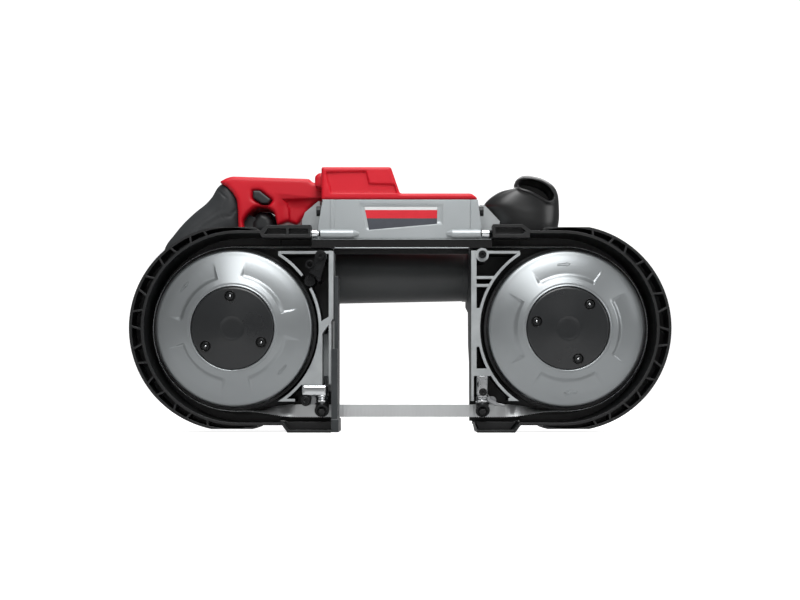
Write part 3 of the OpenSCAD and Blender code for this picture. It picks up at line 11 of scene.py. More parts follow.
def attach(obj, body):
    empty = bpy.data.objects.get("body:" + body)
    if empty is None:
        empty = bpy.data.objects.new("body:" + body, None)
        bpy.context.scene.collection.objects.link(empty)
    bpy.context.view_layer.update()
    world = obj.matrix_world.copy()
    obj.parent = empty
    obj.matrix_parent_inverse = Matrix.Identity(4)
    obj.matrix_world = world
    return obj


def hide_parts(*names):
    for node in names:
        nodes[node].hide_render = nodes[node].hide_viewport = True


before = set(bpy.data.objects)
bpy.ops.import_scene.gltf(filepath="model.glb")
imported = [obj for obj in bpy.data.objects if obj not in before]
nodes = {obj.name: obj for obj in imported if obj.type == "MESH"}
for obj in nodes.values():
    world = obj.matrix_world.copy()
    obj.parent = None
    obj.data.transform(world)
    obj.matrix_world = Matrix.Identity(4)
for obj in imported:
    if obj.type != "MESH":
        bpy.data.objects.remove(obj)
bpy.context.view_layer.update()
print("frame loaded:", len(nodes), "nodes")

saw = {
    "rimDepth": 66.0,       # depth at which the shared frame's origin lies
    "axleHeight": 99.5,
    "driveX": -160.0,
    "idlerX": 160.0,
    "bladeRadius": 79.6,
    "handleDepth": 75.0,
}


# Meshes

def toRow(points):
    # saw millimetres to metres in the shared frame
    return (np.asarray(points, float) - [0, saw["rimDepth"], 0]) * 0.001


def makePiece(name, points, faces, finish, slot, body="frame", stands=(), crease=35):
    # a closed mesh: doubles merged, faces turned outwards, smooth where faces meet below the crease angle
    mesh = bpy.data.meshes.new(name)
    mesh.from_pydata(toRow(points).tolist(), [], faces)
    shape = bmesh.new()
    shape.from_mesh(mesh)
    bmesh.ops.remove_doubles(shape, verts=shape.verts, dist=2e-6)
    bmesh.ops.recalc_face_normals(shape, faces=shape.faces)
    shape.to_mesh(mesh)
    shape.free()
    mesh.shade_smooth()
    mesh.set_sharp_from_angle(angle=math.radians(crease))
    mesh.materials.append(finish)
    piece = bpy.data.objects.new(name, mesh)
    bpy.context.scene.collection.objects.link(piece)
    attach(piece, body)
    if stands:
        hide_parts(*stands)
    return piece


def gridFaces(rows, columns, wrapRows=False, wrapColumns=False, start=0):
    # quads between the neighbours of a grid of points
    i, j = np.meshgrid(np.arange(rows if wrapRows else rows - 1),
                       np.arange(columns if wrapColumns else columns - 1), indexing="ij")
    up, along = (i + 1) % rows, (j + 1) % columns
    quads = np.stack([i * columns + j, i * columns + along, up * columns + along, up * columns + j], -1)
    return (quads.reshape(-1, 4) + start).tolist()


def joined(parts):
    # several point and face lists as one
    points, faces, count = [], [], 0
    for p, f in parts:
        points.append(np.asarray(p, float))
        faces += [[v + count for v in face] for face in f]
        count += len(p)
    return np.vstack(points), faces


def capped(grid, startCap=True, endCap=True):
    # a tube of rings, each end closed by one polygon
    rows, columns = grid.shape[:2]
    faces = gridFaces(rows, columns, wrapColumns=True)
    if startCap:
        faces.append(list(range(columns)))
    if endCap:
        faces.append(list(range((rows - 1) * columns, rows * columns)))
    return grid.reshape(-1, 3), faces


def turned(profile, centre, steps=192, axis="y", closed=True):
    # a profile of radius r and distance t carried round an axis: the angle a gives (r cos a, r sin a) across it
    r, t = np.asarray(profile, float).T
    a = np.arange(steps) * 2 * np.pi / steps
    across, up, along = np.outer(r, np.cos(a)), np.outer(r, np.sin(a)), np.outer(t, np.ones(steps))
    if axis == "y":
        grid = np.stack([centre[0] + across, along, centre[1] + up], -1)
    else:
        grid = np.stack([along, centre[0] + across, centre[1] + up], -1)
    return grid.reshape(-1, 3), gridFaces(len(r), steps, wrapRows=closed, wrapColumns=True)


def rounded(outline, radius, steps=4, closed=True):
    # each corner B becomes (1-t)^2 A + 2t(1-t) B + t^2 C, with A and C a radius away along its two edges
    p = np.asarray(outline, float)
    before, after = np.roll(p, 1, 0), np.roll(p, -1, 0)
    reach = np.broadcast_to(np.asarray(radius, float), (len(p),))[:, None]
    a = p + (before - p) * np.minimum(reach / np.linalg.norm(before - p, axis=1, keepdims=True), 0.48)
    c = p + (after - p) * np.minimum(reach / np.linalg.norm(after - p, axis=1, keepdims=True), 0.48)
    if not closed:
        a[0], c[0], a[-1], c[-1] = p[0], p[0], p[-1], p[-1]
    t = np.linspace(0, 1, steps + 1)[None, :, None]
    return ((1 - t) ** 2 * a[:, None] + 2 * t * (1 - t) * p[:, None] + t ** 2 * c[:, None]).reshape(-1, p.shape[1])


def spaced(outline, step):
    # points along a closed outline, no further apart than a step
    p = np.asarray(outline, float)
    q = np.roll(p, -1, 0)
    span = np.linalg.norm(q - p, axis=1)
    p, q, span = p[span > 1e-6], q[span > 1e-6], span[span > 1e-6]
    counts = np.maximum(1, np.ceil(span / step)).astype(int)
    edge = np.repeat(np.arange(len(p)), counts)
    share = (np.arange(len(edge)) - np.repeat(np.cumsum(counts) - counts, counts)) / counts[edge]
    return p[edge] + (q - p)[edge] * share[:, None]


def lineDistance(points, line, closed=False):
    # distance of each point to a line of corners, by its nearest place on every edge
    p, a = np.asarray(points, float)[:, None], np.asarray(line, float)
    b = np.roll(a, -1, 0)
    if not closed:
        a, b = a[:-1], b[:-1]
    e = b - a
    t = np.clip(((p - a) * e).sum(-1) / np.maximum((e * e).sum(-1), 1e-12), 0, 1)
    return np.linalg.norm(p - a - e * t[..., None], axis=-1).min(1)


def insideDepth(points, outline):
    # distance to a closed outline, positive inside, where a ray along x crosses it an odd number of times
    p, a = np.asarray(points, float)[:, None], np.asarray(outline, float)
    b = np.roll(a, -1, 0)
    crosses = (a[:, 1] > p[..., 1]) != (b[:, 1] > p[..., 1])
    rise = np.where(b[:, 1] == a[:, 1], 1e-12, b[:, 1] - a[:, 1])
    at = a[:, 0] + (p[..., 1] - a[:, 1]) * (b[:, 0] - a[:, 0]) / rise
    inside = (crosses & (p[..., 0] < at)).sum(1) % 2 == 1
    return np.where(inside, 1, -1) * lineDistance(points, outline, closed=True)


def easing(t):
    # 3t^2 - 2t^3 between 0 and 1
    t = np.clip(t, 0, 1)
    return t * t * (3 - 2 * t)


def alongKeys(keys, count):
    # Catmull-Rom curve through rows of values, at even steps
    k = np.asarray(keys, float)
    u = np.linspace(0, len(k) - 1, count)
    i = np.clip(u.astype(int), 0, len(k) - 2)
    t = (u - i)[:, None]
    e = np.vstack([2 * k[0] - k[1], k, 2 * k[-1] - k[-2]])
    a, b, c, d = e[i], e[i + 1], e[i + 2], e[i + 3]
    return 0.5 * (2 * b + (c - a) * t + (2 * a - 5 * b + 4 * c - d) * t ** 2 + (3 * b - 3 * c + d - a) * t ** 3)


def relief(name, outline, front, back, finish, slot, holes=(), spacing=2.4, insets=(0.25, 0.8, 1.6, 2.6), lines=(),
           crease=40, extra=(), **where):
    # a solid over an outline in x and z, from depth front(p, d) to back(p, d), d being the distance to the edge.
    # Its points are the edges, rings set inwards, both sides of the lines of its steps, and a grid between them
    edges = [spaced(o, spacing * 0.6) for o in (outline, *holes)]

    def edgeDistance(points):
        d = insideDepth(points, edges[0])
        for h in edges[1:]:
            d = np.minimum(d, -insideDepth(points, h))
        return d

    cloud = list(edges)
    for e in edges:
        tangent = np.roll(e, -1, 0) - np.roll(e, 1, 0)
        normal = np.stack([-tangent[:, 1], tangent[:, 0]], 1) / np.linalg.norm(tangent, axis=1, keepdims=True)
        if edgeDistance(e + normal * 0.05).mean() < 0:
            normal = -normal
        for inset in insets:
            ring = e + normal * inset
            cloud.append(ring[edgeDistance(ring) > inset * 0.97 - 1e-6])
    for line in lines:
        e = spaced(line, spacing * 0.7)
        tangent = np.roll(e, -1, 0) - np.roll(e, 1, 0)
        normal = np.stack([-tangent[:, 1], tangent[:, 0]], 1) / np.linalg.norm(tangent, axis=1, keepdims=True)
        for shift in (-0.7, -0.25, 0.25, 0.7):
            ring = e + normal * shift
            cloud.append(ring[edgeDistance(ring) > 0.15])
    low, high = edges[0].min(0), edges[0].max(0)
    gx, gz = np.meshgrid(np.arange(low[0], high[0], spacing), np.arange(low[1], high[1], spacing))
    field = np.stack([gx.ravel(), gz.ravel()], 1)
    cloud.append(field[edgeDistance(field) > insets[-1] + spacing * 0.4])
    cloud = np.vstack(cloud)
    walls, count = [], 0
    for e in edges:
        i = np.arange(len(e))
        walls.append(np.stack([i + count, (i + 1) % len(e) + count], 1))
        count += len(e)
    made = geometry.delaunay_2d_cdt([Vector(p) for p in cloud], np.vstack(walls).tolist(), [], 0, 1e-5)
    flat, faces = np.array([v[:] for v in made[0]]), np.array([f for f in made[2] if len(f) == 3])
    faces = faces[edgeDistance(flat[faces].mean(1)) > 1e-4]
    d = np.maximum(edgeDistance(flat), 0)
    n = len(flat)
    a, b = faces.ravel(), np.roll(faces, -1, 1).ravel()
    open_ = ~np.isin(a * n + b, b * n + a)
    side = np.stack([b[open_], a[open_], a[open_] + n, b[open_] + n], 1)
    points = np.vstack([np.stack([flat[:, 0], y, flat[:, 1]], 1) for y in (front(flat, d), back(flat, d))])
    solid = (points, faces.tolist() + (faces[:, ::-1] + n).tolist() + side.tolist())
    if extra:
        solid = joined([solid, *extra])
    return makePiece(name, *solid, finish, slot, crease=crease, **where)


def roundEdge(d, r):
    # how far a rounded edge of radius r falls back at a distance d from the edge
    x = np.clip(r - d, 0, r)
    return r - np.sqrt(r * r - x * x)


def tube(path, radius, sides=10, closed=False, up=(0, 1, 0)):
    # a round section carried along a path, turned by the path's direction and an up direction
    p = np.asarray(path, float)
    direction = np.gradient(p, axis=0) if not closed else np.roll(p, -1, 0) - np.roll(p, 1, 0)
    direction /= np.linalg.norm(direction, axis=1, keepdims=True)
    side = np.cross(direction, up)
    side /= np.linalg.norm(side, axis=1, keepdims=True)
    above = np.cross(side, direction)
    a = np.arange(sides) * 2 * np.pi / sides
    radius = np.broadcast_to(np.asarray(radius, float), (len(p),))[:, None, None]
    grid = p[:, None] + radius * (side[:, None] * np.cos(a)[None, :, None] + above[:, None] * np.sin(a)[None, :, None])
    if closed:
        return grid.reshape(-1, 3), gridFaces(len(p), sides, wrapRows=True, wrapColumns=True)
    return capped(grid)


def arcPoints(x, z, radius, start, end, count):
    # points of an arc in x and z, angles in degrees from x towards z
    a = np.radians(np.linspace(start, end, count))
    return np.stack([x + radius * np.cos(a), z + radius * np.sin(a)], 1)


# Materials

def paint(r, g, b):
    # a screen colour of 0 to 255 as the linear colour that a shader takes
    c = np.array([r, g, b]) / 255.0
    c = np.where(c <= 0.04045, c / 12.92, ((c + 0.055) / 1.055) ** 2.4)
    return (*map(float, c), 1.0)


def newGroup(name, inputs, outputs):
    # an empty node group with float or vector sockets
    group = bpy.data.node_groups.new(name, "ShaderNodeTree")
    for title, value in inputs.items():
        group.interface.new_socket(title, in_out="INPUT", socket_type="NodeSocketFloat").default_value = value
    for title, kind in outputs.items():
        group.interface.new_socket(title, in_out="OUTPUT", socket_type=kind)
    return group, group.nodes.new("NodeGroupInput"), group.nodes.new("NodeGroupOutput")


def grainGroup():
    # rounded edges by the bevel normal, then fine moulding or casting grain on top as a bump
    group, given, made = newGroup("surfaceGrain", {"Edge": 0.0005, "Scale": 900.0, "Strength": 0.1, "Height": 0.0002},
                                  {"Normal": "NodeSocketVector"})
    links = group.links
    place = group.nodes.new("ShaderNodeTexCoord")
    noise = group.nodes.new("ShaderNodeTexNoise")
    noise.inputs["Detail"].default_value = 3.0
    edge = group.nodes.new("ShaderNodeBevel")
    edge.samples = 4
    bump = group.nodes.new("ShaderNodeBump")
    links.new(place.outputs["Object"], noise.inputs["Vector"])
    links.new(given.outputs["Scale"], noise.inputs["Scale"])
    links.new(given.outputs["Edge"], edge.inputs["Radius"])
    links.new(given.outputs["Strength"], bump.inputs["Strength"])
    links.new(given.outputs["Height"], bump.inputs["Distance"])
    links.new(noise.outputs["Fac"], bump.inputs["Height"])
    links.new(edge.outputs["Normal"], bump.inputs["Normal"])
    links.new(bump.outputs["Normal"], made.inputs["Normal"])
    return group


def cloudGroup():
    # slow variation over the surface, between 0 and 1
    group, given, made = newGroup("surfaceCloud", {"Scale": 30.0, "Contrast": 1.5}, {"Mask": "NodeSocketFloat"})
    links = group.links
    place = group.nodes.new("ShaderNodeTexCoord")
    noise = group.nodes.new("ShaderNodeTexNoise")
    noise.inputs["Detail"].default_value = 5.0
    around = group.nodes.new("ShaderNodeMath")
    around.operation = "SUBTRACT"
    around.inputs[1].default_value = 0.5
    spread = group.nodes.new("ShaderNodeMath")
    spread.operation = "MULTIPLY_ADD"
    spread.use_clamp = True
    spread.inputs[2].default_value = 0.5
    links.new(place.outputs["Object"], noise.inputs["Vector"])
    links.new(given.outputs["Scale"], noise.inputs["Scale"])
    links.new(noise.outputs["Fac"], around.inputs[0])
    links.new(around.outputs[0], spread.inputs[0])
    links.new(given.outputs["Contrast"], spread.inputs[1])
    links.new(spread.outputs[0], made.inputs["Mask"])
    return group


def wearGroup():
    # where the bevel normal leaves the flat one, broken up by noise: rubbed edges
    group, given, made = newGroup("edgeWear", {"Radius": 0.0006, "Amount": 0.6}, {"Mask": "NodeSocketFloat"})
    links = group.links
    place = group.nodes.new("ShaderNodeTexCoord")
    noise = group.nodes.new("ShaderNodeTexNoise")
    noise.inputs["Scale"].default_value = 160.0
    edge = group.nodes.new("ShaderNodeBevel")
    edge.samples = 4
    flat = group.nodes.new("ShaderNodeNewGeometry")
    dot = group.nodes.new("ShaderNodeVectorMath")
    dot.operation = "DOT_PRODUCT"
    bend = group.nodes.new("ShaderNodeMapRange")
    bend.inputs["From Min"].default_value = 0.98
    bend.inputs["From Max"].default_value = 0.80
    broken = group.nodes.new("ShaderNodeMath")
    broken.operation = "MULTIPLY"
    final = group.nodes.new("ShaderNodeMath")
    final.operation = "MULTIPLY"
    final.use_clamp = True
    links.new(given.outputs["Radius"], edge.inputs["Radius"])
    links.new(place.outputs["Object"], noise.inputs["Vector"])
    links.new(edge.outputs["Normal"], dot.inputs[0])
    links.new(flat.outputs["Normal"], dot.inputs[1])
    links.new(dot.outputs["Value"], bend.inputs["Value"])
    links.new(bend.outputs["Result"], broken.inputs[0])
    links.new(noise.outputs["Fac"], broken.inputs[1])
    links.new(broken.outputs[0], final.inputs[0])
    links.new(given.outputs["Amount"], final.inputs[1])
    links.new(final.outputs[0], made.inputs["Mask"])
    return group


effects = {"grain": grainGroup(), "cloud": cloudGroup(), "wear": wearGroup()}


def useEffect(tree, effect, **values):
    # an effect's group node in a material, with its values
    node = tree.nodes.new("ShaderNodeGroup")
    node.node_tree = effects[effect]
    for title, value in values.items():
        node.inputs[title].default_value = value
    return node


def mixColours(tree, mask, first, second):
    # two colours mixed by a mask; each is a colour or a socket
    mix = tree.nodes.new("ShaderNodeMix")
    mix.data_type = "RGBA"
    tree.links.new(mask, mix.inputs["Factor"])
    for socket, colour in ((mix.inputs["A"], first), (mix.inputs["B"], second)):
        if isinstance(colour, tuple):
            socket.default_value = colour
        else:
            tree.links.new(colour, socket)
    return mix.outputs["Result"]


def makeFinish(name, colours, roughness, metallic=0.0, cloud=(30.0, 1.5), grain=(900.0, 0.1, 0.0002), edge=0.0005,
               worn=None, specular=0.5, coat=0.0):
    # a finish of two near colours in clouds, roughness that varies with them, grain, rounded edges and rubbed edges
    material = bpy.data.materials.new(name)
    material.use_nodes = True
    tree = material.node_tree
    shader = tree.nodes["Principled BSDF"]
    mask = useEffect(tree, "cloud", Scale=cloud[0], Contrast=cloud[1]).outputs["Mask"]
    colour = mixColours(tree, mask, *colours)
    if worn:
        wear = useEffect(tree, "wear", Radius=edge * 1.2, Amount=worn[1])
        colour = mixColours(tree, wear.outputs["Mask"], colour, worn[0])
    tree.links.new(colour, shader.inputs["Base Color"])
    spread = tree.nodes.new("ShaderNodeMapRange")
    spread.inputs["To Min"].default_value, spread.inputs["To Max"].default_value = roughness
    tree.links.new(mask, spread.inputs["Value"])
    tree.links.new(spread.outputs["Result"], shader.inputs["Roughness"])
    shader.inputs["Metallic"].default_value = metallic
    shader.inputs["Specular IOR Level"].default_value = specular
    if coat:
        shader.inputs["Coat Weight"].default_value = coat
        shader.inputs["Coat Roughness"].default_value = 0.25
    bumps = useEffect(tree, "grain", Edge=edge, Scale=grain[0], Strength=grain[1], Height=grain[2])
    tree.links.new(bumps.outputs["Normal"], shader.inputs["Normal"])
    return material


finishes = {
    "blackPlastic": makeFinish("blackPlastic", (paint(9, 10, 11), paint(15, 16, 17)), (0.34, 0.5), grain=(1400.0, 0.12, 0.0001),
                               edge=0.0007, worn=(paint(74, 78, 80), 0.7)),
    "darkPlastic": makeFinish("darkPlastic", (paint(24, 26, 28), paint(32, 34, 36)), (0.36, 0.5), grain=(1200.0, 0.15, 0.0001),
                              edge=0.0006, worn=(paint(88, 92, 94), 0.4)),
    "redPlastic": makeFinish("redPlastic", (paint(192, 10, 30), paint(202, 15, 37)), (0.36, 0.46), grain=(1500.0, 0.08, 0.0001),
                             edge=0.0009, specular=0.35),
    "hornPlastic": makeFinish("hornPlastic", (paint(11, 12, 13), paint(17, 18, 19)), (0.26, 0.36), grain=(1500.0, 0.12, 0.0001),
                              edge=0.0006, coat=0.2),
    "glossyBlack": makeFinish("glossyBlack", (paint(6, 6, 7), paint(11, 11, 12)), (0.14, 0.22), grain=(1500.0, 0.05, 0.0001),
                              edge=0.0003, coat=0.3),
    "rubber": makeFinish("rubber", (paint(38, 40, 42), paint(50, 52, 54)), (0.46, 0.62), grain=(1600.0, 0.35, 0.00012),
                         edge=0.0008, specular=0.4),
    "tyreRubber": makeFinish("tyreRubber", (paint(26, 27, 28), paint(34, 35, 36)), (0.5, 0.7), grain=(1200.0, 0.3, 0.00012),
                             edge=0.0005),
    "castAluminium": makeFinish("castAluminium", (paint(150, 154, 156), paint(176, 180, 181)), (0.42, 0.6), metallic=0.55,
                                cloud=(55.0, 1.8), grain=(1100.0, 0.35, 0.00016), edge=0.0007,
                                worn=(paint(214, 218, 219), 0.5)),
    "paintedSilver": makeFinish("paintedSilver", (paint(158, 163, 165), paint(170, 175, 177)), (0.36, 0.5), metallic=0.6,
                                cloud=(24.0, 1.2), grain=(2200.0, 0.2, 0.00006), edge=0.0007,
                                worn=(paint(216, 220, 222), 0.4)),
    "wheelAlloy": makeFinish("wheelAlloy", (paint(140, 144, 146), paint(156, 160, 162)), (0.3, 0.42), metallic=0.85,
                             cloud=(14.0, 1.0), grain=(2600.0, 0.18, 0.00005), edge=0.0004),
    "machinedSteel": makeFinish("machinedSteel", (paint(150, 152, 154), paint(172, 174, 176)), (0.24, 0.4), metallic=1.0,
                                cloud=(90.0, 1.6), grain=(2400.0, 0.12, 0.00005), edge=0.0004),
    "brightChrome": makeFinish("brightChrome", (paint(205, 208, 210), paint(224, 226, 228)), (0.08, 0.2), metallic=1.0,
                               cloud=(60.0, 1.4), grain=(1800.0, 0.06, 0.00004), edge=0.0005),
    "bladeSteel": makeFinish("bladeSteel", (paint(196, 198, 199), paint(212, 214, 215)), (0.3, 0.42), metallic=0.8,
                             cloud=(60.0, 1.0), grain=(2600.0, 0.1, 0.00004), edge=0.0001),
    "darkScrews": makeFinish("darkScrews", (paint(30, 31, 32), paint(44, 45, 46)), (0.22, 0.38), metallic=0.7,
                             cloud=(120.0, 1.6), grain=(2400.0, 0.15, 0.00006), edge=0.0004),
    "hubPlastic": makeFinish("hubPlastic", (paint(19, 21, 23), paint(26, 28, 30)), (0.24, 0.34), cloud=(18.0, 1.2), coat=0.15,
                             grain=(2000.0, 0.18, 0.00008), edge=0.0005),
    "motorPaint": makeFinish("motorPaint", (paint(48, 50, 51), paint(58, 60, 61)), (0.32, 0.46), metallic=0.2,
                             cloud=(30.0, 1.3), grain=(1300.0, 0.2, 0.0001), edge=0.0006),
    "shoeSteel": makeFinish("shoeSteel", (paint(52, 55, 57), paint(66, 69, 71)), (0.36, 0.5), metallic=0.5,
                            cloud=(60.0, 1.6), grain=(1500.0, 0.2, 0.0001), edge=0.0006, worn=(paint(170, 173, 175), 0.5)),
    "windingCopper": makeFinish("windingCopper", (paint(160, 86, 44), paint(190, 110, 60)), (0.3, 0.45), metallic=0.9,
                                cloud=(400.0, 2.5), grain=(900.0, 0.6, 0.0003), edge=0.0004),
    "boardGreen": makeFinish("boardGreen", (paint(18, 70, 40), paint(26, 88, 52)), (0.35, 0.5), cloud=(180.0, 2.5),
                             grain=(1200.0, 0.2, 0.0001), edge=0.0003),
    "contactBrass": makeFinish("contactBrass", (paint(38, 39, 41), paint(52, 53, 55)), (0.3, 0.44), cloud=(200.0, 1.5),
                               grain=(1400.0, 0.15, 0.0001), edge=0.0004),
}


def frameFinish():
    # cast aluminium whose wells and pockets are darkened with painted shade, and whose inner throat walls facing -x get
    # a grey painted shade, while the ribs' front faces stay bright
    material = finishes["castAluminium"].copy()
    material.name = "frameCasting"
    tree = material.node_tree
    shader = tree.nodes["Principled BSDF"]
    place = tree.nodes.new("ShaderNodeTexCoord")
    parts = tree.nodes.new("ShaderNodeSeparateXYZ")
    tree.links.new(place.outputs["Object"], parts.inputs[0])
    side = tree.nodes.new("ShaderNodeNewGeometry")
    facing = tree.nodes.new("ShaderNodeSeparateXYZ")
    tree.links.new(side.outputs["True Normal"], facing.inputs[0])

    def between(value, low, high, soft):
        # 1 inside a range, with soft ends
        rise = tree.nodes.new("ShaderNodeMapRange")
        rise.inputs["From Min"].default_value, rise.inputs["From Max"].default_value = low - soft, low
        fall = tree.nodes.new("ShaderNodeMapRange")
        fall.inputs["From Min"].default_value, fall.inputs["From Max"].default_value = high + soft, high
        both = tree.nodes.new("ShaderNodeMath")
        both.operation = "MULTIPLY"
        tree.links.new(value, rise.inputs["Value"])
        tree.links.new(value, fall.inputs["Value"])
        tree.links.new(rise.outputs["Result"], both.inputs[0])
        tree.links.new(fall.outputs["Result"], both.inputs[1])
        return both.outputs[0]

    def times(a, b, operation="MULTIPLY"):
        node = tree.nodes.new("ShaderNodeMath")
        node.operation = operation
        node.use_clamp = True
        tree.links.new(a, node.inputs[0])
        tree.links.new(b, node.inputs[1])
        return node.outputs[0]

    deep = between(parts.outputs["Y"], -0.0505, -0.0235, 0.004)
    low = between(parts.outputs["Z"], 0.0, 0.1905, 0.0003)
    towards = between(facing.outputs["Y"], -1.1, 0.4, 0.1)
    leftArm = times(between(parts.outputs["X"], -0.0757, -0.0655, 0.0002), between(parts.outputs["Z"], 0.04, 0.098, 0.002))
    throat = between(parts.outputs["X"], -0.0662, 0.0682, 0.0002)
    bare = times(leftArm, throat, "MAXIMUM")
    # painted shade: near black on the faces deep in the wells and pockets, which also lose their metal
    dark = times(times(times(deep, low), towards), bare, "SUBTRACT")
    # painted shade: grey on the right arm's inner walls that face into the throat
    inwards = times(between(facing.outputs["X"], -1.1, -0.6, 0.1), between(parts.outputs["X"], 0.06, 0.0712, 0.0004))
    inwards = times(inwards, between(parts.outputs["Z"], -0.01, 0.182, 0.001))
    colour = shader.inputs["Base Color"].links[0].from_socket
    tree.links.new(mixColours(tree, inwards, mixColours(tree, dark, colour, paint(12, 13, 14)),
                                         paint(58, 61, 63)), shader.inputs["Base Color"])
    metal = tree.nodes.new("ShaderNodeMapRange")
    metal.inputs["To Min"].default_value, metal.inputs["To Max"].default_value = 0.55, 0.0
    tree.links.new(dark, metal.inputs["Value"])
    tree.links.new(metal.outputs["Result"], shader.inputs["Metallic"])
    return material


def labelFinish():
    # printed plate without words: a pale strip, a red band and a dark band, each slightly mottled
    material = finishes["paintedSilver"].copy()
    material.name = "bandedPlate"
    tree = material.node_tree
    shader = tree.nodes["Principled BSDF"]
    place = tree.nodes.new("ShaderNodeTexCoord")
    parts = tree.nodes.new("ShaderNodeSeparateXYZ")
    tree.links.new(place.outputs["Object"], parts.inputs[0])

    def below(height):
        step = tree.nodes.new("ShaderNodeMapRange")
        step.inputs["From Min"].default_value, step.inputs["From Max"].default_value = height + 0.0001, height - 0.0001
        tree.links.new(parts.outputs["Z"], step.inputs["Value"])
        return step.outputs["Result"]

    mask = useEffect(tree, "cloud", Scale=120.0, Contrast=1.2).outputs["Mask"]
    colour = mixColours(tree, mask, paint(206, 208, 209), paint(216, 218, 219))
    colour = mixColours(tree, below(0.2134), colour, mixColours(tree, mask, paint(196, 26, 40), paint(208, 34, 48)))
    colour = mixColours(tree, below(0.2054), colour, mixColours(tree, mask, paint(58, 61, 68), paint(70, 73, 80)))
    tree.links.new(colour, shader.inputs["Base Color"])
    shader.inputs["Metallic"].default_value = 0.0
    for link in list(tree.links):
        if link.to_node == shader and link.to_socket.name == "Roughness":
            tree.links.remove(link)
    shader.inputs["Roughness"].default_value = 0.35
    return material


def rodFinish():
    # chrome rods, black inside the guards' tabs and at a ring on each side
    material = finishes["brightChrome"].copy()
    material.name = "rodChrome"
    tree = material.node_tree
    shader = tree.nodes["Principled BSDF"]
    place = tree.nodes.new("ShaderNodeTexCoord")
    parts = tree.nodes.new("ShaderNodeSeparateXYZ")
    tree.links.new(place.outputs["Object"], parts.inputs[0])
    out = tree.nodes.new("ShaderNodeMath")
    out.operation = "ABSOLUTE"
    tree.links.new(parts.outputs["X"], out.inputs[0])
    bands = tree.nodes.new("ShaderNodeValToRGB")
    bands.color_ramp.interpolation = "CONSTANT"
    reach = tree.nodes.new("ShaderNodeMapRange")
    reach.inputs["From Min"].default_value, reach.inputs["From Max"].default_value = 0.06, 0.11
    tree.links.new(out.outputs[0], reach.inputs["Value"])
    tree.links.new(reach.outputs["Result"], bands.inputs["Fac"])
    for place, level in ((0.29, 1.0), (0.36, 0.0), (0.5, 1.0)):
        bands.color_ramp.elements.new(place).color = (level, level, level, 1)
    bands.color_ramp.elements[0].color = (0, 0, 0, 1)
    colour = shader.inputs["Base Color"].links[0].from_socket
    tree.links.new(mixColours(tree, bands.outputs["Color"], colour, paint(14, 15, 16)), shader.inputs["Base Color"])
    return material


finishes["rodChrome"] = rodFinish()
finishes["frameCasting"] = frameFinish()
finishes["bandedPlate"] = labelFinish()

nodeFinishes = {
    "frame_casting": "frameCasting", "drive_guard": "blackPlastic", "idler_guard": "blackPlastic",
    "blade_cover": "glossyBlack", "upper_housing": "paintedSilver", "label_plate": "bandedPlate",
    "gear_case": "motorPaint", "motor_housing": "motorPaint", "motor_end_cap": "motorPaint",
    "stator": "windingCopper", "shaft_bearings": "machinedSteel", "handle_shell_front": "redPlastic",
    "handle_shell_rear": "redPlastic", "battery_rails": "darkPlastic", "main_grip": "rubber",
    "front_handle": "darkPlastic", "battery_terminals": "contactBrass", "trigger_switch": "darkPlastic",
    "control_board": "boardGreen", "guide_block_left": "machinedSteel", "guide_block_right": "machinedSteel",
    "guide_pins": "machinedSteel", "guide_studs": "darkScrews", "guard_rods": "rodChrome",
    "housing_screws": "darkScrews", "frame_screws": "darkScrews", "wheel_brush": "darkPlastic",
    "brush_bracket": "darkScrews", "rear_feet": "rubber", "blade": "bladeSteel", "drive_wheel": "wheelAlloy",
    "idler_wheel": "wheelAlloy", "drive_tyre": "tyreRubber", "idler_tyre": "tyreRubber",
    "drive_hub_cap": "hubPlastic", "idler_hub_cap": "hubPlastic", "drive_cap_screws": "darkScrews",
    "idler_cap_screws": "darkScrews", "idler_carriage": "castAluminium", "tension_lever": "blackPlastic",
    "trigger": "darkPlastic", "lock_button": "darkPlastic", "shoe": "shoeSteel",
}
for title, cad in nodes.items():
    cad.data.materials.clear()
    cad.data.materials.append(finishes[nodeFinishes.get(title, "machinedSteel")])
print("finishes:", len(finishes))


# Wheels

wheels = {
    "lobeStarts": {"drive": 17.0, "idler": 59.0},    # first raised lobe's angle
    "lobeSpan": 63.0,
    "lobeRadius": 50.0,
    "lobeEnd": 66.0,
    "lobeDrop": 1.7,
    "arrowRadius": 61.5,
    "arrows": {"drive": (139.5, -40.5), "idler": (93.0, -87.0)},
    "capScrews": {"drive": (94, 214, 334), "idler": (48, 168, 288)},
    "screwCircle": 30.7,
}


